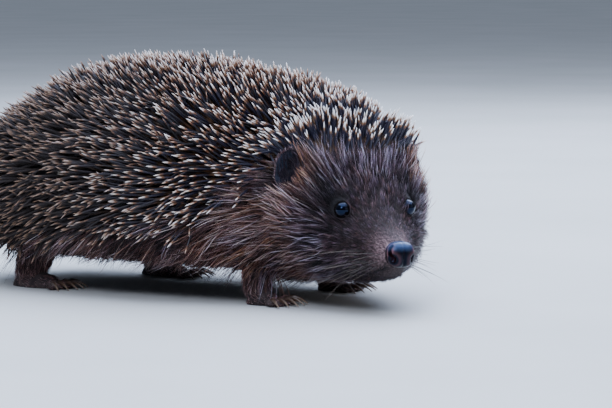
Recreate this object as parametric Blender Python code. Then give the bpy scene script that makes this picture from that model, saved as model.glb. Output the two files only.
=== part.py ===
"""A European hedgehog standing on four feet, at life size, as a still museum model.

The animal faces -Y with its head turned to its own right (-X), and +Z is up.
Each solid reaches out to the tips of the coat, so the trunk holds the spines and
the cheeks hold their long hair. Sizes are in millimetres, times MM.
"""

import math

import bmesh
import bpy
from mathutils import Matrix, Vector

MM = 0.001
GAP = 0.3 * MM  # clearance where two pieces meet

# The body is one loft. Each station gives, in mm: the distance back from the nose
# tip along the animal's axis, the half width, the height of the top line, of the
# under line and of the widest level above the floor.
STATIONS = {
    "nose_back": (5.5, 5.0, 31.6, 21.0, 26.3),
    "muzzle": (12.5, 8.2, 35.4, 16.2, 26.0),
    "stop": (22.5, 14.2, 43.0, 13.0, 28.0),
    "eyes": (30.5, 20.2, 52.5, 11.5, 31.5),
    "brow": (38.0, 25.4, 65.0, 10.5, 34.5),
    "crown": (46.0, 30.0, 78.5, 9.5, 37.5),
    "ears": (57.0, 35.0, 86.0, 9.5, 40.0),
    "nape": (77.0, 44.0, 91.0, 9.0, 41.0),
    "shoulders": (107.0, 55.0, 97.0, 8.5, 42.5),
    "mid_back": (152.0, 62.0, 102.5, 9.0, 44.0),
    "hips": (200.0, 60.5, 98.5, 9.5, 44.0),
    "rump": (240.0, 52.0, 79.5, 12.0, 43.0),
}
BODY_LENGTH = 263.0 * MM  # nose tip to the end of the rump, along the axis
RUMP_DOME = 36.0 * MM  # the last stretch, which closes as a dome
HEAD_END = 72.0 * MM  # where the head meets the neck
NECK_END = 98.0 * MM  # where the neck meets the trunk
UPPER_POWER = 2.12  # section shape above the widest level: 2 is an ellipse
UNDER_POWER = 2.6  # below it, a little squarer, as the coat hangs like a skirt
SIDES = 32  # points round a section
HEAD_STEP = 3.6 * MM  # spacing of the sections
TRUNK_STEP = 8.0 * MM

# The head turns to the right over this stretch of the axis.
HEAD_TURN = math.radians(35.0)
TURN_FROM = 40.0 * MM
TURN_TO = 125.0 * MM

NOSE_SIZE = Vector((5.6, 5.0, 5.3)) * MM  # half width, half depth, half height
NOSE_HEIGHT = 26.3 * MM

EYE_RADIUS = 3.6 * MM
EYE_BACK = 31.0 * MM  # from the nose tip
EYE_OUT = 14.0 * MM  # from the middle plane
EYE_HEIGHT = 42.6 * MM
EYE_FACING = math.radians(58.0)  # from straight ahead towards the side
EYE_RAISED = math.radians(22.0)  # and upwards
EYE_SHOWS = 2.2 * MM  # how far the eyeball stands out of the hollow round it
HOLLOW_RADIUS = 12.0 * MM  # of the short-haired hollow

EAR_BACK = 55.0 * MM
EAR_OUT = 27.8 * MM
EAR_HEIGHT = 56.2 * MM
EAR_SIZE = Vector((7.4, 5.2, 10.6)) * MM  # half width, half depth, half height
EAR_WALL = 1.5 * MM
EAR_FACING = math.radians(55.0)  # from straight ahead towards the side
EAR_LEAN = math.radians(12.0)  # the tip leans back

TAIL_SHOWS = 8.0 * MM  # beyond the rump
TAIL_RADIUS = 3.4 * MM
TAIL_HEIGHT = 24.0 * MM

CLAW_THICK = 1.15 * MM
CLAW_HEIGHT = 3.0 * MM  # where a claw leaves its toe
CLAW_TIP_HEIGHT = 0.75 * MM
CLAW_TIP = 0.3  # radius at the tip, of that at the root

# Foot centres: out from the middle plane and back from the nose tip, in mm. The
# right forefoot and the left hindfoot are a step ahead.
FEET = {
    "forefoot_right": (-29.0, 84.0),
    "forefoot_left": (29.0, 100.0),
    "hindfoot_right": (-34.0, 212.0),
    "hindfoot_left": (34.0, 192.0),
}
# Sole length and width, height of the instep, toe length, toe radius, claw length.
FORE_SIZES = tuple(x * MM for x in (15.0, 13.0, 8.0, 6.5, 2.1, 6.0))
HIND_SIZES = tuple(x * MM for x in (27.0, 11.5, 8.5, 6.5, 2.1, 6.5))
FORELEG_RADII = tuple(x * MM for x in (5.6, 7.6, 12.0))  # ankle, knee and hip
HINDLEG_RADII = tuple(x * MM for x in (6.2, 9.5, 16.0))
LEG_LEANS = (4.0 * MM, -6.0 * MM)  # how far back each pair leans at the hip
TOE_SPREAD = math.radians(52.0)  # between the first toe and the fifth
TOES = 5
TOES_OUTWARD = math.radians(6.0)  # the whole foot turns out
TOE_ROOT = 0.7  # where the toes start, of the way from the pad's middle to its edge
OUTER_TOE_SHORTER = 0.18  # the first and fifth toes, against the third

FUR_BROWN = (0.055, 0.034, 0.027, 1.0)
SPINE_BROWN = (0.12, 0.09, 0.065, 1.0)
NOSE_BLACK = (0.008, 0.008, 0.01, 1.0)
EYE_BLACK = (0.004, 0.004, 0.005, 1.0)
EAR_SKIN = (0.09, 0.06, 0.055, 1.0)
FOOT_SKIN = (0.10, 0.066, 0.055, 1.0)


# ---------------------------------------------------------------- the scene


def clear_scene():
    for obj in list(bpy.data.objects):
        bpy.data.objects.remove(obj)


def new_collection(name):
    made = bpy.data.collections.new(name)
    bpy.context.scene.collection.children.link(made)
    return made


def new_material(name, colour, roughness):
    made = bpy.data.materials.new(name)
    made.use_nodes = True
    shader = made.node_tree.nodes["Principled BSDF"]
    shader.inputs["Base Color"].default_value = colour
    shader.inputs["Roughness"].default_value = roughness
    made.diffuse_color = colour
    return made


def object_from(bm, name, collection, material=None):
    """Turns a bmesh into a smooth-shaded object in that collection."""
    bmesh.ops.recalc_face_normals(bm, faces=bm.faces[:])
    mesh = bpy.data.meshes.new(name)
    bm.to_mesh(mesh)
    bm.free()
    mesh.shade_smooth()
    if material:
        mesh.materials.append(material)
    made = bpy.data.objects.new(name, mesh)
    collection.objects.link(made)
    return made


def as_cutter(obj):
    obj.hide_render = True
    obj.display_type = "WIRE"
    return obj


def boolean(obj, operation, other):
    step = obj.modifiers.new(operation.lower(), "BOOLEAN")
    step.operation = operation
    step.object = other
    step.solver = "EXACT"


# ---------------------------------------------------------------- the body's loft


def smooth_through(keys, at):
    """A smooth curve through (place, value) keys, with slopes from the neighbours."""
    last = len(keys) - 1
    i = max(0, min(last - 1, sum(at > key[0] for key in keys) - 1))
    (a, va), (b, vb) = keys[i], keys[i + 1]

    def slope(k):
        low, high = keys[max(0, k - 1)], keys[min(last, k + 1)]
        return (high[1] - low[1]) / (high[0] - low[0])

    span = b - a
    t = (at - a) / span
    return (
        va * (1 + 2 * t) * (1 - t) ** 2
        + slope(i) * span * t * (1 - t) ** 2
        + vb * t * t * (3 - 2 * t)
        + slope(i + 1) * span * t * t * (t - 1)
    )


def station_value(column, back):
    keys = [(row[0] * MM, row[column] * MM) for row in STATIONS.values()]
    return smooth_through(keys, back)


def heading(back):
    """How far the axis is turned to the right of -Y, at this distance from the nose."""
    t = min(1.0, max(0.0, (TURN_TO - back) / (TURN_TO - TURN_FROM)))
    return HEAD_TURN * t * t * (3 - 2 * t)


def axis_point(back, step=0.5 * MM):
    """The place on the axis in plan, walked forward from the middle of the trunk."""
    x, y = 0.0, 0.0
    walked = TURN_TO
    if back >= walked:
        return Vector((0.0, back - walked, 0.0))
    while walked > back + 1e-9:
        part = min(step, walked - back)
        angle = heading(walked - part / 2)
        x -= math.sin(angle) * part
        y -= math.cos(angle) * part
        walked -= part
    return Vector((x, y, 0.0))


def on_body(back, out, height):
    """A point by its distance from the nose, its offset to the left and its height."""
    angle = heading(back)
    left = Vector((math.cos(angle), -math.sin(angle), 0.0))
    return axis_point(back) + left * out + Vector((0.0, 0.0, height))


def power_curve(angle, power):
    """(cosine, sine) of a superellipse at this angle."""
    c, s = math.cos(angle), math.sin(angle)
    return (
        math.copysign(abs(c) ** (2 / power), c),
        math.copysign(abs(s) ** (2 / power), s),
    )


def section(back, grow):
    """The points round the body at one distance from the nose."""
    half, top, under, wide = (station_value(k, back) for k in (1, 2, 3, 4))
    t = max(0.0, (back - (BODY_LENGTH - RUMP_DOME)) / RUMP_DOME)
    dome = math.sqrt(max(0.0, 1.0 - t * t))
    points = []
    for k in range(SIDES):
        angle = 2 * math.pi * k / SIDES
        c, s = power_curve(angle, UPPER_POWER if math.sin(angle) >= 0 else UNDER_POWER)
        reach = (top - wide) if s >= 0 else (wide - under)
        points.append(
            on_body(back, c * (half * dome + grow), wide + s * (reach * dome + grow))
        )
    return points


def spaced(start, end, step):
    count = max(2, round((end - start) / step))
    return [start + (end - start) * k / count for k in range(count + 1)]


def loft(name, start, end, step, collection, material=None, grow=0.0):
    """The stretch of the body from start to end, closed by flat faces."""
    dome_from = BODY_LENGTH - RUMP_DOME
    backs = spaced(start, min(end, dome_from), step)
    if end > dome_from:
        turns = spaced(0.0, math.radians(87.0), math.radians(12.0))
        backs += [dome_from + RUMP_DOME * math.sin(turn) for turn in turns[1:]]
    bm = bmesh.new()
    rings = [[bm.verts.new(p) for p in section(back, grow)] for back in backs]
    for a, b in zip(rings, rings[1:]):
        for k in range(SIDES):
            j = (k + 1) % SIDES
            bm.faces.new((a[k], a[j], b[j], b[k]))
    bm.faces.new(rings[0])
    bm.faces.new(rings[-1])
    return object_from(bm, name, collection, material)


# ---------------------------------------------------------------- simple forms


def ellipsoid(name, place, half_sizes, turn, collection, material=None, detail=16):
    """A sphere scaled in its mesh, then turned and placed."""
    bm = bmesh.new()
    bmesh.ops.create_uvsphere(bm, u_segments=detail, v_segments=detail // 2, radius=1.0)
    scale = Matrix.Diagonal(Vector((*half_sizes, 1.0)))
    bmesh.ops.transform(bm, matrix=turn.to_4x4() @ scale, verts=bm.verts[:])
    bmesh.ops.translate(bm, vec=place, verts=bm.verts[:])
    return object_from(bm, name, collection, material)


def tapered_limb(name, points, radii, collection, material=None, sides=16):
    """A round limb through the points, with a radius at each and rounded by a curve."""
    curve = bpy.data.curves.new(name, "CURVE")
    curve.dimensions = "3D"
    curve.bevel_depth = 1.0
    curve.bevel_resolution = sides // 4 - 1
    curve.resolution_u = 2
    curve.use_fill_caps = True
    spline = curve.splines.new("BEZIER")
    spline.bezier_points.add(len(points) - 1)
    for knot, place, radius in zip(spline.bezier_points, points, radii):
        knot.co = place
        knot.radius = radius
        knot.handle_left_type = "AUTO"
        knot.handle_right_type = "AUTO"
    guide = bpy.data.objects.new(name + "_guide", curve)
    collection.objects.link(guide)
    bpy.context.view_layer.update()
    graph = bpy.context.evaluated_depsgraph_get()
    mesh = bpy.data.meshes.new_from_object(guide.evaluated_get(graph))
    bpy.data.objects.remove(guide)
    bm = bmesh.new()
    bm.from_mesh(mesh)
    bpy.data.meshes.remove(mesh)
    bmesh.ops.remove_doubles(bm, verts=bm.verts[:], dist=0.00001)
    return object_from(bm, name, collection, material)


# ---------------------------------------------------------------- the sub-parts


def build_nose(body, collection, material):
    """The bare pad at the muzzle's end, cut flat where the muzzle starts."""
    place = on_body(NOSE_SIZE.y, 0.0, NOSE_HEIGHT)
    turn = Matrix.Rotation(-heading(0.0), 3, "Z")
    nose = ellipsoid("nose", place, NOSE_SIZE, turn, collection, material)
    boolean(nose, "DIFFERENCE", body)


def build_eye(side, sign, head, parts, cutters, material):
    """The eyeball, with its socket and the hollow round it cut from the head."""
    place = on_body(EYE_BACK, sign * EYE_OUT, EYE_HEIGHT)
    level = Matrix.Identity(3)
    ellipsoid("eye_" + side, place, (EYE_RADIUS,) * 3, level, parts, material)
    grown = (EYE_RADIUS + GAP,) * 3
    socket = ellipsoid("socket_" + side, place, grown, level, cutters)
    towards = Matrix.Rotation(-heading(EYE_BACK) + sign * EYE_FACING, 3, "Z")
    flat = math.cos(EYE_RAISED)
    gaze = towards @ Vector((0.0, -flat, math.sin(EYE_RAISED)))
    outside = place + gaze * (EYE_RADIUS - EYE_SHOWS + HOLLOW_RADIUS)
    hollow_size = (HOLLOW_RADIUS,) * 3
    hollow = ellipsoid("hollow_" + side, outside, hollow_size, level, cutters, None, 20)
    boolean(head, "DIFFERENCE", as_cutter(hollow))
    boolean(head, "DIFFERENCE", as_cutter(socket))


def build_ear(side, sign, head, parts, cutters, material):
    """A rounded cup set in the coat, open forwards and outwards."""
    place = on_body(EAR_BACK, sign * EAR_OUT, EAR_HEIGHT)
    facing = Matrix.Rotation(-heading(EAR_BACK) + sign * EAR_FACING, 3, "Z")
    turn = facing @ Matrix.Rotation(-EAR_LEAN, 3, "X")
    ear = ellipsoid("ear_" + side, place, EAR_SIZE, turn, parts, material, 18)
    wall = Vector((EAR_WALL,) * 3)
    bowl_size = EAR_SIZE - wall + Vector((0.0, EAR_WALL * 0.6, 0.0))
    mouth = place + turn @ Vector((0.0, -EAR_SIZE.y * 0.62, 0.0))
    bowl = ellipsoid("bowl_" + side, mouth, bowl_size, turn, cutters, None, 20)
    boolean(ear, "DIFFERENCE", as_cutter(bowl))
    grown = EAR_SIZE + Vector((GAP,) * 3)
    socket = ellipsoid("earbed_" + side, place, grown, turn, cutters, None, 20)
    boolean(head, "DIFFERENCE", as_cutter(socket))


def build_tail(body, parts, material):
    """A short stub that comes out low on the rump."""
    end = axis_point(BODY_LENGTH).y
    root = Vector((0.0, end - 16 * MM, TAIL_HEIGHT + 5 * MM))
    tip = Vector((0.0, end + TAIL_SHOWS, TAIL_HEIGHT - 3 * MM))
    radii = (TAIL_RADIUS * 1.3, TAIL_RADIUS, TAIL_RADIUS * 0.45)
    points = (root, root.lerp(tip, 0.6), tip)
    tail = tapered_limb("tail", points, radii, parts, material)
    boolean(tail, "DIFFERENCE", body)


def build_claw(name, knuckle, way, length, collection):
    """A short curved cone that leaves the toe and bends down to the floor."""
    start = knuckle - way * CLAW_THICK + Vector((0.0, 0.0, CLAW_HEIGHT))
    end = knuckle + way * length + Vector((0.0, 0.0, CLAW_TIP_HEIGHT))
    middle = (start + end) / 2
    middle.z = CLAW_HEIGHT * 0.95
    radii = (CLAW_THICK, CLAW_THICK * 0.9, CLAW_THICK * CLAW_TIP)
    return tapered_limb(name, (start, middle, end), radii, collection, None, 8)


def build_foot(name, centre, sizes, floor, parts, cutters, material):
    """A flat-soled paw with five clawed toes."""
    sole, width, instep, toe_length, toe_radius, claw_length = sizes
    level = Matrix.Identity(3)
    pad_sizes = (width / 2, sole / 2, instep)
    foot = ellipsoid(name, centre, pad_sizes, level, parts, material)
    outward = math.copysign(TOES_OUTWARD, centre.x)
    for k in range(TOES):
        across = (k - (TOES - 1) / 2) / (TOES - 1)
        angle = across * TOE_SPREAD + outward
        way = Vector((math.sin(angle), -math.cos(angle), 0.0))
        root = centre + Vector((across * width, -sole / 2, 0.0)) * TOE_ROOT
        reach = toe_length * (1.0 - OUTER_TOE_SHORTER * abs(2 * across) ** 1.5)
        middle = root + way * reach * 0.6
        turn = Matrix.Rotation(angle, 3, "Z")
        toe_sizes = (toe_radius, reach * 0.8, toe_radius)
        toe_place = middle + Vector((0.0, 0.0, toe_radius * 0.85))
        toe_name = f"{name}_toe{k + 1}"
        toe = ellipsoid(toe_name, toe_place, toe_sizes, turn, cutters, None, 8)
        boolean(foot, "UNION", as_cutter(toe))
        knuckle = middle + way * reach * 0.62
        claw = build_claw(f"{name}_claw{k + 1}", knuckle, way, claw_length, cutters)
        boolean(foot, "UNION", as_cutter(claw))
    boolean(foot, "DIFFERENCE", floor)


def build_leg(name, centre, sizes, lean, radii, body, parts, cutters, material):
    """A leg from the foot up into the trunk, cut where it meets each."""
    ankle = centre + Vector((0.0, sizes[0] * 0.16, 5.0 * MM))
    hip = centre + Vector((-0.12 * centre.x, lean, 40.0 * MM))
    points = (ankle, ankle.lerp(hip, 0.5), hip)
    leg = tapered_limb(name, points, radii, parts, material)
    boolean(leg, "DIFFERENCE", body)
    sole, width, instep = sizes[:3]
    clear = (width / 2 + GAP, sole / 2 + GAP, instep + GAP)
    level = Matrix.Identity(3)
    foot_space = ellipsoid(name + "_ankle", centre, clear, level, cutters, None)
    boolean(leg, "DIFFERENCE", as_cutter(foot_space))


def recentre(parts, cutters):
    """Moves everything so that the origin is the middle of the box, on the floor."""
    bpy.context.view_layer.update()
    graph = bpy.context.evaluated_depsgraph_get()
    low = Vector((1e9,) * 3)
    high = -low
    for obj in parts.objects:
        evaluated = obj.evaluated_get(graph)
        for vertex in evaluated.to_mesh().vertices:
            low = Vector(map(min, low, vertex.co))
            high = Vector(map(max, high, vertex.co))
        evaluated.to_mesh_clear()
    shift = Vector(((low.x + high.x) / 2, (low.y + high.y) / 2, 0.0))
    for obj in [*parts.objects, *cutters.objects]:
        obj.location -= shift


def main():
    clear_scene()
    parts = new_collection("hedgehog")
    cutters = new_collection("cutters")
    fur = new_material("brown_fur", FUR_BROWN, 0.8)
    spines = new_material("banded_spines", SPINE_BROWN, 0.55)
    nose_skin = new_material("wet_nose", NOSE_BLACK, 0.25)
    eye_surface = new_material("black_eye", EYE_BLACK, 0.05)
    ear_skin = new_material("ear_skin", EAR_SKIN, 0.6)
    foot_skin = new_material("foot_skin", FOOT_SKIN, 0.65)

    muzzle = STATIONS["nose_back"][0] * MM
    before = muzzle - GAP
    whole = loft("body_grown", before, BODY_LENGTH, TRUNK_STEP, cutters, None, GAP)
    as_cutter(whole)
    head = loft("head", muzzle, HEAD_END - GAP / 2, HEAD_STEP, parts, fur)
    loft("neck", HEAD_END + GAP / 2, NECK_END - GAP / 2, TRUNK_STEP, parts, spines)
    loft("trunk", NECK_END + GAP / 2, BODY_LENGTH, TRUNK_STEP, parts, spines)
    build_nose(whole, parts, nose_skin)
    for side, sign in (("right", -1.0), ("left", 1.0)):
        build_eye(side, sign, head, parts, cutters, eye_surface)
        build_ear(side, sign, head, parts, cutters, ear_skin)
    build_tail(whole, parts, fur)

    bm = bmesh.new()
    bmesh.ops.create_cube(bm, size=1.0)
    bmesh.ops.scale(bm, vec=(0.6, 0.6, 0.1), verts=bm.verts[:])
    bmesh.ops.translate(bm, vec=(0.0, 0.0, -0.05), verts=bm.verts[:])
    floor = as_cutter(object_from(bm, "floor", cutters))
    for name, (out, back) in FEET.items():
        fore = name.startswith("fore")
        sizes = FORE_SIZES if fore else HIND_SIZES
        centre = on_body(back * MM, out * MM, 0.0)
        build_foot(name, centre, sizes, floor, parts, cutters, foot_skin)
        leg = name.replace("foot", "leg")
        lean = LEG_LEANS[0 if fore else 1]
        radii = FORELEG_RADII if fore else HINDLEG_RADII
        build_leg(leg, centre, sizes, lean, radii, whole, parts, cutters, fur)
    recentre(parts, cutters)


main()
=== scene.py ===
# %% [markdown]
# # A European hedgehog: skin, spines and fur over its solids
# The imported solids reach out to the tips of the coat. Here one skin is made a coat's depth
# inside them, and the eyes, nose, claws, spines and fur are set on it. Every place is worked
# out along the animal's own axis, from the nose tip back to the rump, and round its body.

from math import ceil, copysign, cos, pi, radians, sin

import bpy
import numpy as np
from mathutils import Matrix, Vector
from mathutils.kdtree import KDTree


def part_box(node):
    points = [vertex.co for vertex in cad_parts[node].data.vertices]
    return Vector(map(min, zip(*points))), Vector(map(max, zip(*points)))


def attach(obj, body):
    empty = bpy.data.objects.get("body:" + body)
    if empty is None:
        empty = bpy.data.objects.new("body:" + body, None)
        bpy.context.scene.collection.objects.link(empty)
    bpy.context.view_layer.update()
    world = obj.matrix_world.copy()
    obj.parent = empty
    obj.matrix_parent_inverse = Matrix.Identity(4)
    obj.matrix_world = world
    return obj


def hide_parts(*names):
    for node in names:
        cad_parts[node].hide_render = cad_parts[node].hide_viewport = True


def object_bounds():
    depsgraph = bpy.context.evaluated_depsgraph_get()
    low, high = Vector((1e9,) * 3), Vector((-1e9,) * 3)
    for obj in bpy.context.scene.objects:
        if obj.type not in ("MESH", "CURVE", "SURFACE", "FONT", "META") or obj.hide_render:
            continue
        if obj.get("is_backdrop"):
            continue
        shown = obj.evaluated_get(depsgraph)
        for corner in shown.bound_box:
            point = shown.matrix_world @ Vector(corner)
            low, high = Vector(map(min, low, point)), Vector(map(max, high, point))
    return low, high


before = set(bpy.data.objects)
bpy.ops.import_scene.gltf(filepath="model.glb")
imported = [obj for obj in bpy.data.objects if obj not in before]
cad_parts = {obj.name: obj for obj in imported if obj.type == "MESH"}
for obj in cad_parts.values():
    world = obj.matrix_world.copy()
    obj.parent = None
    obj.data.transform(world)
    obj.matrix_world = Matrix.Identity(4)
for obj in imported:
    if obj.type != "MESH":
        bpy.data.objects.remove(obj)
cad_low, cad_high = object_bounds()
print("solids:", len(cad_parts), "box, mm:", [round(1000 * x) for x in cad_high - cad_low])
MM = 0.001
TAU = 2 * pi


def mm(*values):
    return MM * np.array(values)

# %% [markdown]
# ## The body as sections along an axis
# A hedgehog's body is close to a row of ovals strung on a line that bends at the neck. The
# solids were lofted that way, and the same sections are repeated here because the skin and
# every hair root need a place on the body given by two numbers: how far back from the nose,
# and the angle round the body. A smooth curve joins the sections, so a few rows are enough.

# %% Sections from the muzzle to the rump
# Distance back from the nose tip, half width, then the heights above the floor of the top
# line, of the under line and of the widest level.
SECTIONS = mm(
    (5.5, 5.0, 31.6, 21.0, 26.3),      # behind the nose pad
    (12.5, 8.2, 35.4, 16.2, 26.0),     # muzzle
    (22.5, 14.2, 43.0, 13.0, 28.0),    # stop
    (30.5, 20.2, 52.5, 11.5, 31.5),    # eyes
    (38.0, 25.4, 65.0, 10.5, 34.5),    # brow
    (46.0, 30.0, 78.5, 9.5, 37.5),     # crown
    (57.0, 35.0, 86.0, 9.5, 40.0),     # ears
    (77.0, 44.0, 91.0, 9.0, 41.0),     # nape
    (107.0, 55.0, 97.0, 8.5, 42.5),    # shoulders
    (152.0, 62.0, 102.5, 9.0, 44.0),   # middle of the back
    (200.0, 60.5, 98.5, 9.5, 44.0),    # hips
    (240.0, 52.0, 79.5, 12.0, 43.0),   # rump
)
LENGTH, DOME = 263 * MM, 36 * MM  # nose tip to rump end, and the rump's rounded stretch
UPPER_POWER, UNDER_POWER = 2.12, 2.6
HEAD_TURN, TURN_FROM, TURN_TO = radians(35), 40 * MM, 125 * MM

# %% A smooth curve and an easing step
def smooth(xs, ys, at):
    """A smooth curve through the points (xs, ys), read at each value of at."""
    last = len(xs) - 1
    low, high = np.maximum(np.arange(last + 1) - 1, 0), np.minimum(np.arange(last + 1) + 1, last)
    slope = (ys[high] - ys[low]) / (xs[high] - xs[low])
    i = np.clip(np.searchsorted(xs, at) - 1, 0, last - 1)
    span = xs[i + 1] - xs[i]
    t = (at - xs[i]) / span
    return (ys[i] * (1 + 2 * t) * (1 - t) ** 2 + slope[i] * span * t * (1 - t) ** 2
            + ys[i + 1] * t * t * (3 - 2 * t) + slope[i + 1] * span * t * t * (t - 1))


def ease(x):
    """0 below 0, 1 above 1, and a smooth step between."""
    x = np.clip(x, 0.0, 1.0)
    return x * x * (3 - 2 * x)

# %% The axis, which bends to the animal's right at the neck
def heading(back):
    """How far the axis is turned to the animal's right."""
    return HEAD_TURN * ease((TURN_TO - back) / (TURN_TO - TURN_FROM))


AXIS_STEPS = 600
STEPS = np.linspace(TURN_TO, 0.0, AXIS_STEPS + 1)
MIDDLES = (STEPS[1:] + STEPS[:-1]) / 2
AXIS_X = -np.concatenate([[0.0], np.cumsum(np.sin(heading(MIDDLES)))]) * TURN_TO / AXIS_STEPS
AXIS_Y = -np.concatenate([[0.0], np.cumsum(np.cos(heading(MIDDLES)))]) * TURN_TO / AXIS_STEPS
BOX_SHIFT = (LENGTH - TURN_TO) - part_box("trunk")[1].y  # the solids' origin is mid-box
print("nose to the right of the middle by, mm:", round(-1000 * AXIS_X[-1]))


def on_body(back, out, height):
    """Points by distance from the nose, offset to the animal's left, and height."""
    back, out, height = np.broadcast_arrays(*map(np.asarray, (back, out, height)))
    turn = heading(back)
    x = np.interp(back, STEPS[::-1], AXIS_X[::-1])
    y = np.where(back > TURN_TO, back - TURN_TO, np.interp(back, STEPS[::-1], AXIS_Y[::-1]))
    return np.stack([x + out * np.cos(turn), y - BOX_SHIFT - out * np.sin(turn), height], -1)


def shell(back, angle):
    """Points on the tips of the coat. The angle is 0 at the left, 90 degrees on top."""
    half, top, under, wide = (smooth(SECTIONS[:, 0], SECTIONS[:, k], back) for k in (1, 2, 3, 4))
    dome = np.sqrt(1 - np.clip((back - LENGTH + DOME) / DOME, 0, 1) ** 2)
    c, s = np.cos(angle), np.sin(angle)
    power = 2 / np.where(s >= 0, UPPER_POWER, UNDER_POWER)
    reach = np.where(s >= 0, top - wide, wide - under)
    across = np.sign(c) * np.abs(c) ** power * half * dome
    return on_body(back, across, wide + np.sign(s) * np.abs(s) ** power * reach * dome)

# %% Helpers for vectors and grids
def unit(v):
    return v / np.maximum(np.linalg.norm(v, axis=-1, keepdims=True), 1e-12)


def dot(a, b):
    return (a * b).sum(-1, keepdims=True)


def flattened(ways, normals):
    """Unit vectors along a surface: the ways without the part that stands out of it."""
    return unit(ways - normals * dot(ways, normals))


def ring(count):
    """Angles evenly round a full turn."""
    return np.arange(count) / count * TAU


def grid(rows, columns):
    return np.meshgrid(rows, columns, indexing="ij")


def tangents(back, angle):
    """The backward tangent and the outward normal of the shell."""
    ahead, behind = np.maximum(back - 0.4 * MM, 4 * MM), np.minimum(back + 0.4 * MM, LENGTH - 0.05 * MM)
    along = unit(shell(behind, angle) - shell(ahead, angle))
    around = unit(shell(back, angle + 0.02) - shell(back, angle - 0.02))
    return along, unit(np.cross(along, around))

print("shell width at mid-back, mm:", round(2000 * float(shell(150 * MM, 0.0)[0])))

# %% [markdown]
# ## Where spines stop and fur starts
# On the animal the spines cover the crown, back and flanks, and stop at a clear line: over
# the brow, behind the ears, then low along the flanks to the rump. Everything below is fur.
# The line is kept as two short tables, and one function gives the signed distance to it, so
# that the skin's depth, the spines and the fur all agree on the same edge.

# %% The spine line and the coat's depth
VISOR_ANGLES = np.radians([0, 20, 35, 48, 60, 70, 76, 90, 180])  # away from the top line
VISOR_BACKS = mm(39.5, 40.5, 42.5, 45.5, 52, 63, 72, 80, 400)
FLANK_BACKS = mm(60, 76, 104, 148, 172, 198, 230, 263)
FLANK_ANGLES = np.radians([92, 92, 98, 108, 116, 126, 142, 165])
FUR_BACKS = mm(5, 12, 20, 30, 38, 46, 60, 90, 263)
FUR_DEPTHS = mm(0.45, 0.9, 1.5, 2.0, 3.4, 4.6, 6.5, 8.0, 8.5)
SPINE_DEPTH = 15 * MM


def from_top(angle):
    return np.abs((angle - pi / 2 + pi) % TAU - pi)


def into_spines(back, angle):
    """How far inside the spiny area a place is, in metres; negative in the fur."""
    away = from_top(angle)
    behind_visor = back - np.interp(away, VISOR_ANGLES, VISOR_BACKS)
    above_flank = (np.interp(back, FLANK_BACKS, FLANK_ANGLES) - away) * 50 * MM
    return np.minimum(behind_visor, above_flank)


def coat_depth(back, angle):
    """How far the tips of the coat stand off the skin."""
    away = from_top(angle)
    fur = np.interp(back, FUR_BACKS, FUR_DEPTHS)
    fur = np.minimum(fur, 6 * MM + 2.5 * MM * ease((radians(140) - away) / 0.6))
    spines = SPINE_DEPTH * (1 - 0.27 * ease(away / radians(105)))
    spines = spines * (0.82 + 0.18 * ease((back - 45 * MM) / (40 * MM)))
    return fur + (spines - fur) * ease(into_spines(back, angle) / (11 * MM) + 0.45)


def skin_at(back, angle):
    """Points on the skin, a coat's depth inside the shell."""
    normal = tangents(back, angle)[1]
    return shell(back, angle) - normal * coat_depth(back, angle)[..., None]


probe = np.radians([90.0, 90.0, 180.0, 270.0])
print("coat depth, mm, brow, back, flank, belly:",
      np.round(1000 * coat_depth(mm(38, 150, 150, 150), probe), 1))

# %% [markdown]
# ## Materials: colours and a node helper
# Colours are written as the sRGB hex values that a painter would mix, and one function turns
# them linear. One helper adds a shader node with its settings and links. Two more do what
# every animal material needs: they lay colours over one another, and finish with a bump.

# %% Colour and node helpers
def linear(code, alpha=1.0):
    """sRGB hex, such as "#6b4a3a", as linear red, green, blue and alpha."""
    parts = [int(code[i:i + 2], 16) / 255 for i in (1, 3, 5)]
    return (*[c / 12.92 if c <= 0.04045 else ((c + 0.055) / 1.055) ** 2.4 for c in parts], alpha)


def add(tree, kind, links=None, out=0, **settings):
    """Adds a node and gives one of its outputs. links maps inputs to sockets, colours or values."""
    made = tree.nodes.new(kind)
    for key, value in settings.items():
        setattr(made, key, value)
    for key, value in (links or {}).items():
        if isinstance(value, bpy.types.NodeSocket):
            tree.links.new(value, made.inputs[key])
        else:
            made.inputs[key].default_value = linear(value) if isinstance(value, str) else value
    return made.outputs[out]


def stops(colour, pairs):
    """Sets the stops of the ramp that gives a colour, from (place, hex) pairs."""
    held = colour.node.color_ramp.elements
    while len(held) > 1:
        held.remove(held[0])
    held[0].position, held[0].color = pairs[0][0], linear(pairs[0][1])
    for place, code in pairs[1:]:
        held.new(place).color = linear(code)
    return colour


def new_material(name, reads, roughness, ior, **values):
    """A Principled material, and the marks that it reads from the mesh's points by name."""
    made = bpy.data.materials.new(name)
    made.use_nodes = True
    tree = made.node_tree
    shader = tree.nodes["Principled BSDF"]
    shader.inputs["Roughness"].default_value = roughness
    shader.inputs["IOR"].default_value = ior
    for key, value in values.items():
        shader.inputs[key.replace("_", " ")].default_value = value
    marks = {mark: add(tree, "ShaderNodeAttribute", out="Fac", attribute_name=mark)
             for mark in reads.split()}
    print("material:", name)
    return made, tree, shader, marks


def layered(tree, colour, layers, how="MIX"):
    """Lays colours over one another, each by its amount."""
    for amount, over in layers:
        colour = add(tree, "ShaderNodeMix", {0: amount, 6: colour, 7: over}, 2, data_type="RGBA",
                     blend_type=how)
    return colour


def finish(tree, shader, colour, relief, strength, deep, invert=False):
    """Joins the colour to the shader, and bumps its surface by a relief."""
    tree.links.new(colour, shader.inputs["Base Color"])
    bump = add(tree, "ShaderNodeBump", {"Height": relief, "Strength": strength, "Distance": deep},
               invert=invert)
    tree.links.new(bump, shader.inputs["Normal"])

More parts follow.
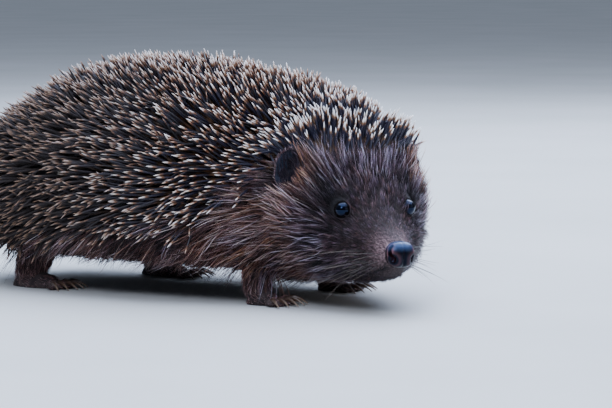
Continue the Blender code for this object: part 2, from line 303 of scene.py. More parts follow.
# %% [markdown]
# ## Markings
# A hedgehog's colours follow its body: nearly black round the eyes, paler pinkish brown on
# the muzzle, dark brown cheeks and belly; the dark insides of the ears are painted shade. The
# same function marks the skin and each hair from its root's place, so the two always agree.
# The marks are numbers from 0 to 1 that the materials turn into colours.

# %% The eyes' and ears' places, and the markings
EYES_BACK, EARS_BACK = 31 * MM, 55 * MM
EYE_FACING, EYE_RAISED = radians(42), radians(13)
EAR_FACING, EAR_LEAN = radians(55), radians(12)


def middle_of(node):
    low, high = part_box(node)
    return (low + high) / 2


def facing(back, sign, side_turn, raised=0.0):
    """A direction from straight ahead of the head, turned to one side and raised."""
    turn = -float(heading(np.array(back))) + sign * side_turn
    level = cos(raised)
    return Vector((sin(turn) * level, -cos(turn) * level, sin(raised)))


SIDES = (("right", -1), ("left", 1))
eyes = {side: middle_of("eye_" + side) for side, _ in SIDES}
gazes = {side: facing(EYES_BACK, sign, EYE_FACING, EYE_RAISED) for side, sign in SIDES}
ears = {side: middle_of("ear_" + side) for side, _ in SIDES}
eye_radius = (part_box("eye_left")[1].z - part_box("eye_left")[0].z) / 2
print("eye radius, mm:", round(1000 * eye_radius, 2))


def distance(points, place):
    return np.linalg.norm(points - np.array(place), axis=-1)


def near(points, place, reach):
    """1 at a place, falling smoothly to almost 0 at the reach."""
    return np.exp(-2 * (distance(points, place) / reach) ** 2)


def seen_by_eye(points, side):
    """How far ahead of an eye's middle points are, and their offset from its line of sight."""
    gaze = np.array(gazes[side])
    offset = points - np.array(eyes[side])
    ahead = offset @ gaze
    return ahead, offset - ahead[..., None] * gaze


def markings(points, back, angle):
    """How dark, how pale and how warm a brown each place is, each from 0 to 1."""
    away = from_top(angle)
    dark = 0.55 * ease((away - radians(100)) / 0.9)
    warm = 0.15 + 0.38 * ease((away - 0.7) / 0.8) * ease((back - 34 * MM) / (12 * MM))
    for side, sign in SIDES:
        behind_eye = eyes[side] + facing(EYES_BACK, sign, radians(120), 0.5) * 4 * MM
        dark = np.maximum(dark, 0.95 * near(points, behind_eye, 12 * MM))
        # The reddish brown patch below and in front of the ear.
        patch_angle = pi / 2 - sign * radians(66)
        before_ear = skin_at(44 * MM, patch_angle)
        warm = np.maximum(warm, near(points, before_ear, 14 * MM))
    # The muzzle is palest along its sides, and less so on its bridge and under the chin.
    sideways = ease(away) * (1 - 0.75 * ease((away - 1.2) / 1.2))
    pale = (0.3 + 0.58 * sideways) * (1 - ease((back - 5 * MM) / (14 * MM)))
    pale = pale * (1 - 0.6 * ease(away - 1.3))
    return {"dark": np.clip(dark - pale - 0.3 * warm, 0, 1), "pale": pale, "warm": warm}

# %% [markdown]
# ## The skin
# Under the coat the animal is one unbroken surface, so the skin is one mesh: the body's
# sections, four legs, clawless feet, tail, ears and eyelids are made as simple closed forms,
# joined, and fused by a voxel remesh, which welds everything that overlaps and rounds the
# creases between. Modelling each junction by hand would take far more points.

# %% The body's surface, with the face's relief
FINE = np.concatenate([np.arange(5.4, 60, 0.8), np.arange(60, 226, 2.0)]) * MM
DOMED = LENGTH - DOME + DOME * np.sin(np.radians(np.arange(0, 89, 2.2)))
BACKS = np.concatenate([FINE, DOMED])
ANGLES = ring(128)


def groove(points, back, angle):
    """How deep the closed mouth's line is pressed in, from under the nose to the cheek."""
    under = smooth(SECTIONS[:, 0], SECTIONS[:, 3], back)
    line = under + np.interp(back, mm(6, 12, 20, 29), mm(1.6, 3.0, 4.0, 5.0))
    close = np.exp(-(((points[..., 2] - line) / (0.75 * MM)) ** 2))
    fade = ease((back - 6 * MM) / (3 * MM)) * ease((30 * MM - back) / (6 * MM))
    return close * fade * ease((from_top(angle) - 1.5) / 0.3)


def relieved(back, angle):
    """The skin with the face's own forms: whisker pads, eye hollows, cheekbones and the mouth."""
    points, normal = skin_at(back, angle), tangents(back, angle)[1]
    moved = points - normal * (0.9 * MM * groove(points, back, angle))[..., None]
    for side, sign in SIDES:
        pad = on_body(12.5 * MM, sign * 7 * MM, 23.5 * MM)
        cheek = on_body(40 * MM, sign * 24 * MM, 31 * MM)
        ridge = eyes[side] + Vector((0, 0, 7.0 * MM)) + gazes[side] * 1.5 * MM
        for place, high, reach in ((pad, 0.7, 6), (cheek, 1.2, 13), (ridge, 0.8, 7)):
            moved = moved + normal * (high * MM * near(points, place, reach * MM))[..., None]
        # Round each eye the face is brought to a shallow dish that faces the way the eye looks.
        ahead, aside = seen_by_eye(moved, side)
        across = np.linalg.norm(aside, axis=-1)
        level = 0.3 * MM + 0.12 * across
        weight = ease((9 * MM - across) / (5 * MM)) * (ahead > -2 * MM)
        moved = moved + np.array(gazes[side]) * ((level - ahead) * weight)[..., None]
    return moved

# %% Forms from rows of points, and objects from forms
def tube(rows, joined=False):
    """Points and faces of a tube through rows of points, capped, or joined into a ring."""
    rows = np.asarray(rows, float)
    index = np.arange(rows.shape[0] * rows.shape[1]).reshape(rows.shape[:2])
    low, high = (index, np.roll(index, -1, 0)) if joined else (index[:-1], index[1:])
    faces = np.stack([low, np.roll(low, -1, 1), np.roll(high, -1, 1), high], -1).reshape(-1, 4).tolist()
    caps = [] if joined else [index[0, ::-1].tolist(), index[-1].tolist()]
    return rows.reshape(-1, 3), faces + caps


def linked(name, data):
    """A new object in the scene."""
    made = bpy.data.objects.new(name, data)
    bpy.context.scene.collection.objects.link(made)
    return made


def as_object(forms, name, smooth_shaded=True):
    """One mesh object from a list of forms, each given as points and faces."""
    starts = np.cumsum([0] + [len(points) for points, _ in forms])
    faces = [[i + start for i in face] for start, form in zip(starts.tolist(), forms) for face in form[1]]
    mesh = bpy.data.meshes.new(name)
    mesh.from_pydata(np.concatenate([points for points, _ in forms]).tolist(), [], faces)
    if smooth_shaded:
        mesh.shade_smooth()
    return linked(name, mesh)

# %% Make the body's surface
back_grid, angle_grid = grid(BACKS, ANGLES)
body_points = relieved(back_grid, angle_grid)
flesh = [tube(body_points)]
print("body surface:", len(flesh[0][0]), "points")

# %% [markdown]
# The legs are short and mostly hidden by the skirt of fur. Each is a chain of balls along
# its bones, which the remesh fuses; the feet add a pad and five toes with their own balls.

# %% Legs, feet and tail
FEET = {  # out from the middle plane and back from the nose tip
    "forefoot_right": (-29 * MM, 84 * MM),
    "forefoot_left": (29 * MM, 100 * MM),
    "hindfoot_right": (-34 * MM, 212 * MM),
    "hindfoot_left": (34 * MM, 192 * MM),
}
# Sole length and width, instep height, toe length and thickness, and claw length.
FORE_SIZES = mm(15.0, 13.0, 8.0, 6.5, 2.1, 6.0)
HIND_SIZES = mm(27.0, 11.5, 8.5, 6.5, 2.1, 6.5)
FORELEG = mm(5.2, 7.2, 11.0)
HINDLEG = mm(5.8, 9.0, 15.0)
FLOOR = cad_low.z
TOE_FAN, FOOT_TURN = radians(52), radians(6)


def ball(place, sizes, turn=0.0, around=20):
    """An ellipsoid, turned about the vertical, as rows of latitude."""
    polar = np.linspace(0.06, pi - 0.06, around // 2 + 2)[:, None]
    round_it = ring(around)[None]
    x, y = np.sin(polar) * np.cos(round_it) * sizes[0], np.sin(polar) * np.sin(round_it) * sizes[1]
    z = np.cos(polar) * sizes[2] + 0 * round_it
    c, s = cos(turn), sin(turn)
    rows = np.stack([x * c - y * s, x * s + y * c, z], -1) + np.array(place)
    rows[..., 2] = np.maximum(rows[..., 2], FLOOR)
    return tube(rows)


def chain(places, radii, steps=10):
    """Balls along a bent line, with the radius changing smoothly."""
    made = []
    for start, end, thick, thin in zip(places, places[1:], radii, radii[1:]):
        for t in np.linspace(0, 1, steps + 1):
            made.append(ball(start.lerp(end, t), (thick + (thin - thick) * t,) * 3))
    return made


def toes(centre, sizes):
    """Each toe's middle, direction, reach and turn."""
    sole, width, _, toe_length = sizes[:4]
    outward = copysign(FOOT_TURN, centre.x)
    for k in range(5):
        across = (k - 2) / 4
        angle = across * TOE_FAN + outward
        way = Vector((sin(angle), -cos(angle), 0))
        root = centre + Vector((across * width, -sole / 2, 0)) * 0.7
        reach = toe_length * (1 - 0.18 * abs(2 * across) ** 1.5)
        yield root + way * reach * 0.6, way, reach, angle

# %% Place the legs, feet and tail
foot_centres = {}
for name, (out, back) in FEET.items():
    fore = name.startswith("fore")
    sizes = FORE_SIZES if fore else HIND_SIZES
    sole, width, instep, _, toe_radius, _ = sizes
    centre = Vector(on_body(back, out, FLOOR))
    foot_centres[name] = (centre, sizes)
    flesh.append(ball(centre, (width / 2 - 0.3 * MM, sole / 2 - 0.3 * MM, instep - 1.5 * MM), 0.0, 28))
    for middle, way, reach, angle in toes(centre, sizes):
        lifted = middle + Vector((0, 0, toe_radius * 0.85))
        flesh.append(ball(lifted, (toe_radius - 0.3 * MM, reach * 0.72, toe_radius - 0.2 * MM), angle))
        under_toe = lifted + way * reach * 0.3 - Vector((0, 0, 0.7 * MM))
        flesh.append(ball(under_toe, (toe_radius * 0.85, toe_radius, toe_radius * 0.7), angle))
    ankle = centre + Vector((0, sole * 0.16, 5 * MM))
    hip = centre + Vector((-0.12 * centre.x, 4 * MM if fore else -6 * MM, 40 * MM))
    flesh += chain([ankle, ankle.lerp(hip, 0.5), hip], FORELEG if fore else HINDLEG)
tail_low, tail_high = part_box("tail")
tail_tip = Vector((0, tail_high.y - 3.5 * MM, tail_low.z + 3.0 * MM))
tail_root = Vector((0, tail_low.y - 16 * MM, tail_high.z + 3 * MM))
flesh += chain([tail_root, tail_root.lerp(tail_tip, 0.55), tail_tip], mm(6, 3.6, 1.6))
print("forms so far:", len(flesh))

# %% [markdown]
# An ear is a thin rounded cup, opening forwards and outwards, taller than it is wide, with
# its edge curling a little. A dish swept from its middle to its rim and back again on the
# far side makes a closed cup. The lids are rings that rest on the eyeball.

# %% Ears and eyelids
EAR_WIDTH, EAR_HEIGHT, EAR_CUP, EAR_THICK = 7.0 * MM, 10.2 * MM, 5.0 * MM, 0.75 * MM
ear_turns = {side: facing(EARS_BACK, sign, EAR_FACING).to_track_quat("-Y", "Z").to_matrix()
             @ Matrix.Rotation(-EAR_LEAN, 3, "X") for side, sign in SIDES}


def seen_by_ear(points, side):
    """Points by how far across the ear, behind it and up it they are."""
    return (points - np.array(ears[side])) @ np.array(ear_turns[side])


def ear_points(r, a, side, sign, set_back):
    """Points of the ear's dish: r is 0 in its middle and 1 at its rim."""
    edge = 1 + 0.03 * np.sin(3 * a + 0.6 * sign)
    x = EAR_WIDTH * r * np.cos(a) * (1 - 0.22 * ease(-np.sin(a)) * r) * edge
    z = EAR_HEIGHT * r * np.sin(a) * edge
    y = EAR_CUP * (0.5 - r ** 2.2) + 0.4 * MM * np.maximum(0, r - 0.8) / 0.2 + set_back
    for at, along, wide in ((0.62, 1.9, 0.5), (0.5, 0.5, 0.6)):  # the folds of its inner face
        fold = np.exp(-((r - at) / 0.13) ** 2 - (np.angle(np.exp(1j * (a - along))) / wide) ** 2)
        y = y - 1.1 * MM * fold
    return np.array(ears[side]) + np.stack([x, y, z], -1) @ np.array(ear_turns[side]).T


def lid_ring(place, axis, major, minor):
    """A ring round an axis, a little fuller above than below."""
    turn = np.array(axis.to_track_quat("Z", "Y").to_matrix())
    a, b = grid(ring(64), ring(16))
    thick = minor * (1 + 0.25 * np.sin(a))
    out = major + thick * np.cos(b)
    rows = np.stack([out * np.cos(a), 0.94 * out * np.sin(a), thick * np.sin(b)], -1)
    return tube(np.array(place) + rows @ turn.T, joined=True)

# %% Place the ears and the lids
r, a = grid(np.linspace(0.02, 1, 22), ring(64))
for side, sign in SIDES:
    front, rear = (ear_points(r, a, side, sign, way * EAR_THICK) for way in (-1, 1))
    flesh.append(tube(np.concatenate([front, rear[::-1]])))
    root = ears[side] + ear_turns[side] @ Vector((0, 3.5 * MM, -4.5 * MM))
    flesh += chain([root, Vector(on_body(57 * MM, sign * 20 * MM, 50 * MM))], [3.2 * MM, 6 * MM], 6)
    lid_middle = eyes[side] + gazes[side] * 1.0 * MM
    flesh.append(lid_ring(lid_middle, gazes[side], eye_radius + 0.35 * MM, 0.62 * MM))
print("forms before fusing:", len(flesh))

# %% Fuse everything into one skin
VOXEL, SOFTENED, KEPT_FACES = 0.7 * MM, 4, 0.34  # remesh size, smoothing rounds, share of faces
skin = as_object(flesh, "skin")
fuse = skin.modifiers.new("fuse", "REMESH")
fuse.mode = "VOXEL"
fuse.voxel_size = VOXEL
soften = skin.modifiers.new("soften", "SMOOTH")
soften.factor, soften.iterations = 0.5, SOFTENED
thin = skin.modifiers.new("thin", "DECIMATE")
thin.ratio = KEPT_FACES
# The modifiers' result becomes the skin's own mesh.
bpy.context.view_layer.update()
fused = bpy.data.meshes.new_from_object(skin.evaluated_get(bpy.context.evaluated_depsgraph_get()))
skin.modifiers.clear()
skin.data = fused
fused.shade_smooth()
print("skin:", len(skin.data.polygons), "faces")

# %% Read the skin back: each point's place along the body and round it
LOOK_STEP, LOOK_ROUND = 1.5 * MM, 160
look_b, look_a = grid(np.arange(5.5 * MM, LENGTH - MM, LOOK_STEP), ring(LOOK_ROUND))
look_points = skin_at(look_b, look_a)
look_along = np.gradient(look_points, LOOK_STEP, axis=0).reshape(-1, 3)
look_around = (np.roll(look_points, -1, 1) - np.roll(look_points, 1, 1)) / (2 * TAU / LOOK_ROUND)
look_around = look_around.reshape(-1, 3)
look_points, look_b, look_a = look_points.reshape(-1, 3), look_b.ravel(), look_a.ravel()
look_normals = tangents(look_b, look_a)[1]


def tree_of(points, indices):
    """A tree that finds the nearest of some points and says its index."""
    tree = KDTree(len(indices))
    for i in indices:
        tree.insert(points[i], i)
    tree.balance()
    return tree


def nearest(tree, points):
    return np.array([tree.find(p)[1] for p in points])


place_tree = tree_of(look_points, range(len(look_points)))


def places_of(points):
    """Distance back, angle round the body and height off the body's surface."""
    at = nearest(place_tree, points)
    offset = points - look_points[at]
    back = look_b[at] + (offset * look_along[at]).sum(-1) / (look_along[at] ** 2).sum(-1)
    angle = look_a[at] + (offset * look_around[at]).sum(-1) / ((look_around[at] ** 2).sum(-1) + 1e-9)
    step = TAU / LOOK_ROUND
    return (np.clip(back, look_b[at] - LOOK_STEP, look_b[at] + LOOK_STEP),
            np.clip(angle, look_a[at] - step, look_a[at] + step) % TAU,
            (offset * look_normals[at]).sum(-1))

# %% Carry numbers on a mesh's points, and read them
def carry(mesh, **marks):
    """Stores numbers on a mesh's points, for its material to read."""
    for name, values in marks.items():
        made = mesh.attributes.new(name, "FLOAT", "POINT")
        made.data.foreach_set("value", np.asarray(values, np.float32))


def read(collection, key, shape, kind=np.float32):
    """Reads one property of every element of a mesh into an array."""
    values = np.empty(int(np.prod(shape)), kind)
    collection.foreach_get(key, values)
    return values.reshape(shape)

# %% Mark the skin
skin_points = read(skin.data.vertices, "co", (len(skin.data.vertices), 3)).astype(float)
skin_back, skin_angle, skin_proud = places_of(skin_points)
skin_marks = markings(skin_points, skin_back, skin_angle)
LID_REACH, LID_FADE = 4.7 * MM, 1.2 * MM
in_ear, slate = {}, np.zeros(len(skin_points))
for side, _ in SIDES:
    local = seen_by_ear(skin_points, side)
    in_ear[side] = np.linalg.norm(local / np.array([EAR_WIDTH, 5 * MM, EAR_HEIGHT]), axis=1) < 1.12
    inner = np.array(ears[side] + ear_turns[side] @ Vector((0, -1 * MM, 1 * MM)))
    # The ear is painted a dark cool grey blue: painted shade that makes it read as a hollow cup.
    slate = np.maximum(slate, ease(1.7 * near(skin_points, inner, 13 * MM)) * in_ear[side])
    lids = ease((LID_REACH - distance(skin_points, eyes[side] + gazes[side] * 1.8 * MM)) / LID_FADE)
    skin_marks["dark"] = np.maximum(skin_marks["dark"], 0.85 * lids)
any_ear = in_ear["right"] | in_ear["left"]
bare = ease((9 * MM - (skin_points[:, 2] - FLOOR)) / (5 * MM))
# Under the spines the skin is painted near black: painted shade between the spines.
spiny = ease(into_spines(skin_back, skin_angle) / (6 * MM) + 0.5) * (skin_proud < 2 * MM)
# The skin is also painted dark along the mouth's groove: painted shade in the crease.
mouth = groove(skin_points, skin_back, skin_angle)
# The body straightened out and shortened along its length, so that a noise makes streaks that
# run the way the fur lies.
skin_turn = heading(skin_back)
from_axis = skin_points - on_body(skin_back, 0.0, 0.0)
across = from_axis[:, 0] * np.cos(skin_turn) - from_axis[:, 1] * np.sin(skin_turn)
carry(skin.data, dark=np.maximum(skin_marks["dark"], mouth), pale=skin_marks["pale"], bare=bare,
      spiny=spiny, slate=slate, across=across, height=skin_points[:, 2], lengthwise=0.2 * skin_back)
print("skin marked, mean bare:", round(float(bare.mean()), 3))

# %% [markdown]
# The skin shows only between hairs and on the bare places: lids, the ears' insides, soles.
# Under the fur it is dressed as short dense underfur, dark brown with fine streaks, which bump
# makes from a noise that is stretched along the body. Real underfur is finer than the 0.6 mm
# of that noise, which is coarsened so that it still shows from a metre away.

# %% Skin material
# Dull and dark, partly the underfur's own colour and partly painted shade, so that the gaps
# between hairs read as depth. The bare soles are mottled flesh, and the inside of the ear is
# painted a dark cool grey blue, painted shade that makes the ear read as a hollow cup.
skin_paint, tree, shader, marks = new_material(
    "underfur_and_bare_skin", "across height lengthwise pale dark spiny bare slate", 0.7, 1.4,
    Specular_IOR_Level=0.25)
combed = add(tree, "ShaderNodeCombineXYZ", {"X": marks["across"], "Y": marks["height"],
                                            "Z": marks["lengthwise"]})
space = add(tree, "ShaderNodeTexCoord", out="Object")
streak = add(tree, "ShaderNodeTexNoise", {"Vector": combed, "Scale": 1 / (0.6 * MM), "Detail": 4.0})
patch = add(tree, "ShaderNodeTexNoise", {"Vector": space, "Scale": 1 / (5 * MM), "Detail": 3.0})
underfur, short_fur, flesh_tone, ear_hollow_tone = (
    stops(add(tree, "ShaderNodeValToRGB", {"Fac": pattern}), pairs) for pattern, pairs in (
        (streak, [(0.3, "#0f0b0b"), (0.55, "#261c1b"), (0.75, "#40322f")]),
        (streak, [(0.32, "#35282a"), (0.5, "#7a6062"), (0.68, "#ab9091")]),
        (patch, [(0.35, "#2b2324"), (0.65, "#4f4341")]),
        (patch, [(0.4, "#11151c"), (0.62, "#283040")])))
skin_tone = layered(tree, underfur, (
    # The near black under the spines is painted shade.
    (marks["pale"], short_fur), (marks["dark"], "#0d0b0d"), (marks["spiny"], "#0e0b0b"),
    (marks["bare"], flesh_tone), (marks["slate"], ear_hollow_tone)))
finish(tree, shader, skin_tone, streak, 0.7, 0.3 * MM)
skin.data.materials.append(skin_paint)
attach(skin, "root")
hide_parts("head", "neck", "trunk", "tail", "ear_right", "ear_left", "foreleg_right", "foreleg_left",
            "hindleg_right", "hindleg_left", "forefoot_right", "forefoot_left", "hindfoot_right",
            "hindfoot_left")

# %% [markdown]
# ## The eyes
# A hedgehog's eye is a black bead: the iris is so dark that it can hardly be told from the
# pupil, and all that shows is the wet cornea's reflection. A sphere with a slightly bulged
# cornea gives that highlight its shape.

# %% Eyeballs
# The film of tears has the refraction of the cornea, and its mirror-like gloss with a faint
# sky blue makes the small sharp highlight that brings the face to life.
eye_paint, tree, shader, marks = new_material("wet_black_eye", "from_pupil", 0.04, 1.376,
                                              Specular_Tint=linear("#94b8ff"))
iris = stops(add(tree, "ShaderNodeValToRGB", {"Fac": marks["from_pupil"]}),
             [(0.0, "#010101"), (0.36, "#020101"), (0.42, "#0c0705"), (0.7, "#080504"), (0.8, "#050404")])
tree.links.new(iris, shader.inputs["Base Color"])
CORNEA_EDGE, CORNEA_SWELL = 0.62, 0.07  # the cosine where the cornea begins, and its bulge
polar, a = grid(np.linspace(0.01, pi - 0.01, 60), ring(64))
swell = 1 + CORNEA_SWELL * np.maximum(0, (np.cos(polar) - CORNEA_EDGE) / (1 - CORNEA_EDGE)) ** 1.3
globe = np.stack([np.sin(polar) * np.cos(a), np.sin(polar) * np.sin(a), np.cos(polar)], -1)
for side, _ in SIDES:
    turn = np.array(gazes[side].to_track_quat("Z", "Y").to_matrix())
    rows = np.array(eyes[side]) + (globe * swell[..., None] * eye_radius) @ turn.T
    eyeball = as_object([tube(rows)], "eyeball_" + side)
    carry(eyeball.data, from_pupil=polar.ravel() / (pi / 2))
    eyeball.data.materials.append(eye_paint)
    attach(eyeball, "root")
    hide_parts("eye_" + side)
print("eyeballs set")

# %% [markdown]
# ## The nose pad
# The bare tip of the muzzle is wet black leather: a rounded pad, cleft in the middle, with a
# comma-shaped nostril on each side whose edge stands up as a fine rim. The pad is a dense
# sphere pressed in and raised by smooth bumps, which keeps the comma's curve soft.

# %% Nose pad
NOSE_HALF = mm(5.7, 5.0, 5.3)
nose_middle = on_body(5.0 * MM, 0.0, 26.4 * MM)
nose_turn = np.array(Matrix.Rotation(-HEAD_TURN, 3, "Z"))
polar, a = grid(np.linspace(0.01, pi - 0.01, 110), ring(144))
d = np.stack([np.sin(polar) * np.cos(a), -np.cos(polar), np.sin(polar) * np.sin(a)], -1)


def dent(way, width):
    """1 where the pad faces one way, falling to 0 over a width in radians."""
    way = np.array(way) / np.linalg.norm(way)
    return np.exp(-((np.arccos(np.clip(d @ way, -1, 1)) / width) ** 2))


def side_way(sign, turned, raised):
    """A direction from the pad's middle, turned to one side of straight ahead and raised."""
    turned, raised = radians(turned), radians(raised)
    return sign * sin(turned) * cos(raised), -cos(turned) * cos(raised), sin(raised)

# %% Press in the cleft and the nostrils
cleft = 0.08 * np.exp(-((d[..., 0] / 0.08) ** 2)) * np.clip(-d[..., 1], 0, 1)
press = cleft * np.where(d[..., 2] < 0.4, 1, 0.35)
for sign in (-1, 1):
    # The comma: a round hole low on the side, with a narrow tail curling up and back.
    t = np.linspace(0, 1, 11)
    turned = np.interp(t, [0, 0.4, 0.8, 1], [50, 61, 67, 62])
    raised = np.interp(t, [0, 1], [-17, 36])
    widths = np.interp(t, [0, 0.3, 1], [0.26, 0.15, 0.11])
    depths = np.interp(t, [0, 0.6, 1], [1.0, 0.85, 0.4])
    hole, rim = np.zeros(d.shape[:2]), np.zeros(d.shape[:2])
    for turn_by, raise_by, wide, deep in zip(turned, raised, widths, depths):
        way = side_way(sign, turn_by, raise_by)
        hole = np.maximum(hole, deep * dent(way, wide))
        rim = np.maximum(rim, deep * dent(way, wide + 0.17))
    press = press + 0.34 * hole - 0.13 * np.maximum(0, rim - hole)
BOXY = 2.5  # 2 would be an ellipsoid
full = (np.abs(d) ** BOXY).sum(-1, keepdims=True) ** (-1 / BOXY)
shaped = d * full * (1 - press)[..., None] * NOSE_HALF
nose = as_object([tube(nose_middle + shaped @ nose_turn.T)], "nose_pad")
# The mark that rises over the pad's top is a painted reflection of the sky, bluish grey.
carry(nose.data, hollow=np.clip(press * 3.4, 0, 1).ravel(), rim=np.clip(-press * 14, 0, 1).ravel() ** 2,
      dry=ease((d[..., 2] - 0.15) / 0.6).ravel())

# %% Nose material
# Black leather with a grain of fine pebbles. Its top is painted a bluish grey, a painted reflection
# of the sky, and reflects more; the worn rims of the nostrils are pinkish, and the hollows fall to a deep
# red brown.
nose_paint, tree, shader, marks = new_material("wet_nose_leather", "dry rim hollow", 0.25, 1.37,
                                               Specular_Tint=linear("#a8c8ff"))
space = add(tree, "ShaderNodeTexCoord", out="Object")
pebbles = add(tree, "ShaderNodeTexVoronoi", {"Vector": space, "Scale": 1 / (0.42 * MM)})
wet = add(tree, "ShaderNodeTexNoise", {"Vector": space, "Scale": 1 / (2.5 * MM), "Detail": 3.0})
leather = stops(add(tree, "ShaderNodeValToRGB", {"Fac": wet}), [(0.35, "#030305"), (0.7, "#0a0a0d")])
leather = layered(tree, leather, ((marks["dry"], "#32415f"), (marks["rim"], "#a87479"),
                                  (marks["hollow"], "#1f0809")))
gloss = add(tree, "ShaderNodeMath", {0: marks["dry"], 1: 0.35, 2: 0.2}, operation="MULTIPLY_ADD")
tree.links.new(gloss, shader.inputs["Specular IOR Level"])
finish(tree, shader, leather, pebbles, 0.2, 0.1 * MM, invert=True)
nose.data.materials.append(nose_paint)
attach(nose, "root")
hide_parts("nose")
print("nose pad, mm:", [round(1000 * x, 1) for x in nose.dimensions])

# %% [markdown]
# ## Claws
# Each toe ends in a narrow claw of horn, brown at the root and paler to the tip, curved down
# to the ground. A short curve with a tapering bevel would do, but rings of points along an
# arc are as short to write and give the mesh directly.

# %% Claws, one piece for each foot
# Horn is a little glossy and lets its dark root show, so the claws stand out from the feet.
claw_paint, tree, shader, marks = new_material("claw_horn", "along", 0.32, 1.55)
horn = stops(add(tree, "ShaderNodeValToRGB", {"Fac": marks["along"]}),
             [(0.0, "#3a2a22"), (0.5, "#6d5545"), (1.0, "#b39a80")])
space = add(tree, "ShaderNodeTexCoord", out="Object")
grain = add(tree, "ShaderNodeTexNoise", {"Vector": space, "Scale": 1 / (0.6 * MM), "Detail": 3.0})
finish(tree, shader, layered(tree, horn, [(grain, "#4c3a2f")], "OVERLAY"), grain, 0.2, 0.1 * MM)
CLAW_THICK, CLAW_TOP, CLAW_TIP, CLAW_SUNK = 1.05 * MM, 3.0 * MM, 0.45 * MM, 1.6 * MM
t, a = grid(np.linspace(0, 1, 13), ring(12))
claw_height = CLAW_TOP + 0.3 * MM * np.sin(pi * t) - (CLAW_TOP - CLAW_TIP) * t ** 2
claw_thick = CLAW_THICK * (1 - 0.8 * t ** 1.4)
for name, (centre, sizes) in foot_centres.items():
    horns = []
    for middle, way, reach, _ in toes(centre, sizes):
        start = middle + way * (reach * 0.62 - CLAW_SUNK)
        ahead = (sizes[5] + CLAW_SUNK) * t
        across = claw_thick * 0.75 * np.cos(a)
        rows = np.stack([start.x + way.x * ahead + way.y * across, start.y + way.y * ahead - way.x * across,
                         start.z + claw_height + claw_thick * np.sin(a)], -1)
        horns.append(tube(rows))
    claws = as_object(horns, name.replace("foot", "claws"))
    carry(claws.data, along=np.tile(t.ravel(), len(horns)))
    claws.data.materials.append(claw_paint)
    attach(claws, "root")
print("claws on", len(foot_centres), "feet")

# %% [markdown]
# ## The coat
# Fur as particles or hair curves doesn't leave Blender as a mesh, so each spine and hair is
# built here as a thin tapered prism, all of them at once as arrays of numbers. Roots are
# scattered over the skin's own faces, so they are even, and every strand starts on the skin.

# %% Scatter roots over the skin
skin.data.calc_loop_triangles()
TRIS = len(skin.data.loop_triangles)
tri = read(skin.data.loop_triangles, "vertices", (TRIS, 3), np.int32)
tri_area = read(skin.data.loop_triangles, "area", (TRIS,)).astype(float)
point_normals = read(skin.data.vertex_normals, "vector", (len(skin_points), 3)).astype(float)
face_back, face_angle, face_proud = (v[tri[:, 0]] for v in (skin_back, skin_angle, skin_proud))
face_z = skin_points[tri[:, 0], 2] - FLOOR
rng = np.random.default_rng(7)


def scatter(chosen, spacing):
    """Random points on the chosen triangles, with about one point per spacing squared."""
    faces = np.nonzero(chosen)[0]
    room = tri_area[faces] / spacing ** 2
    faces = np.repeat(faces, np.floor(room + rng.random(len(faces))).astype(int))
    u, v = rng.random((2, len(faces)))
    flip = u + v > 1
    u, v = np.where(flip, 1 - u, u), np.where(flip, 1 - v, v)
    weights = np.stack([1 - u - v, u, v], -1)[..., None]
    return (skin_points[tri[faces]] * weights).sum(1), unit((point_normals[tri[faces]] * weights).sum(1))


def thinned(points, apart):
    """Which points to keep so that no two are nearer than a given distance."""
    tree = tree_of(points, range(len(points)))
    kept = np.ones(len(points), bool)
    for i, p in enumerate(points):
        if kept[i]:
            for _, j, _ in tree.find_range(p, apart):
                if j > i:
                    kept[j] = False
    return kept


def leaders_of(roots, apart):
    """The nearest leader to each root. Leaders are roots at least some distance apart."""
    return nearest(tree_of(roots, np.nonzero(thinned(roots, apart))[0].tolist()), roots)


def lie_at(back, angle, normals, down):
    """The way the coat lies: back along the body, and down by some amount."""
    sinking = np.asarray(down)[..., None] * np.array([0.0, 0.0, -1.0])
    return flattened(tangents(back, angle)[0] + sinking, normals)


print("skin area, cm2:", round(float(tri_area.sum()) * 1e4))

# %% The outlines of spines, hairs and whiskers
OUTLINES = {  # how far along each ring is, its share of the full thickness, and the sides
    "hair": (np.array([0.0, 0.3, 0.65, 1.0]), np.array([0.9, 1.0, 0.65, 0.0]), 3),
    "long_hair": (np.array([0.0, 0.2, 0.45, 0.72, 1.0]), np.array([0.8, 1.0, 0.9, 0.55, 0.0]), 3),
    "spine": (np.array([0.0, 0.25, 0.55, 0.82, 0.94, 1.0]), np.array([0.7, 1.0, 1.0, 0.76, 0.42, 0.0]), 5),
    "whisker": (np.linspace(0, 1, 9), np.linspace(1, 0, 9) ** 0.6, 4),
}


def turned_about(v, axis, angle):
    """Turns vectors about unit axes."""
    c, s = np.cos(angle)[:, None], np.sin(angle)[:, None]
    return v * c + np.cross(axis, v) * s + axis * dot(axis, v) * (1 - c)

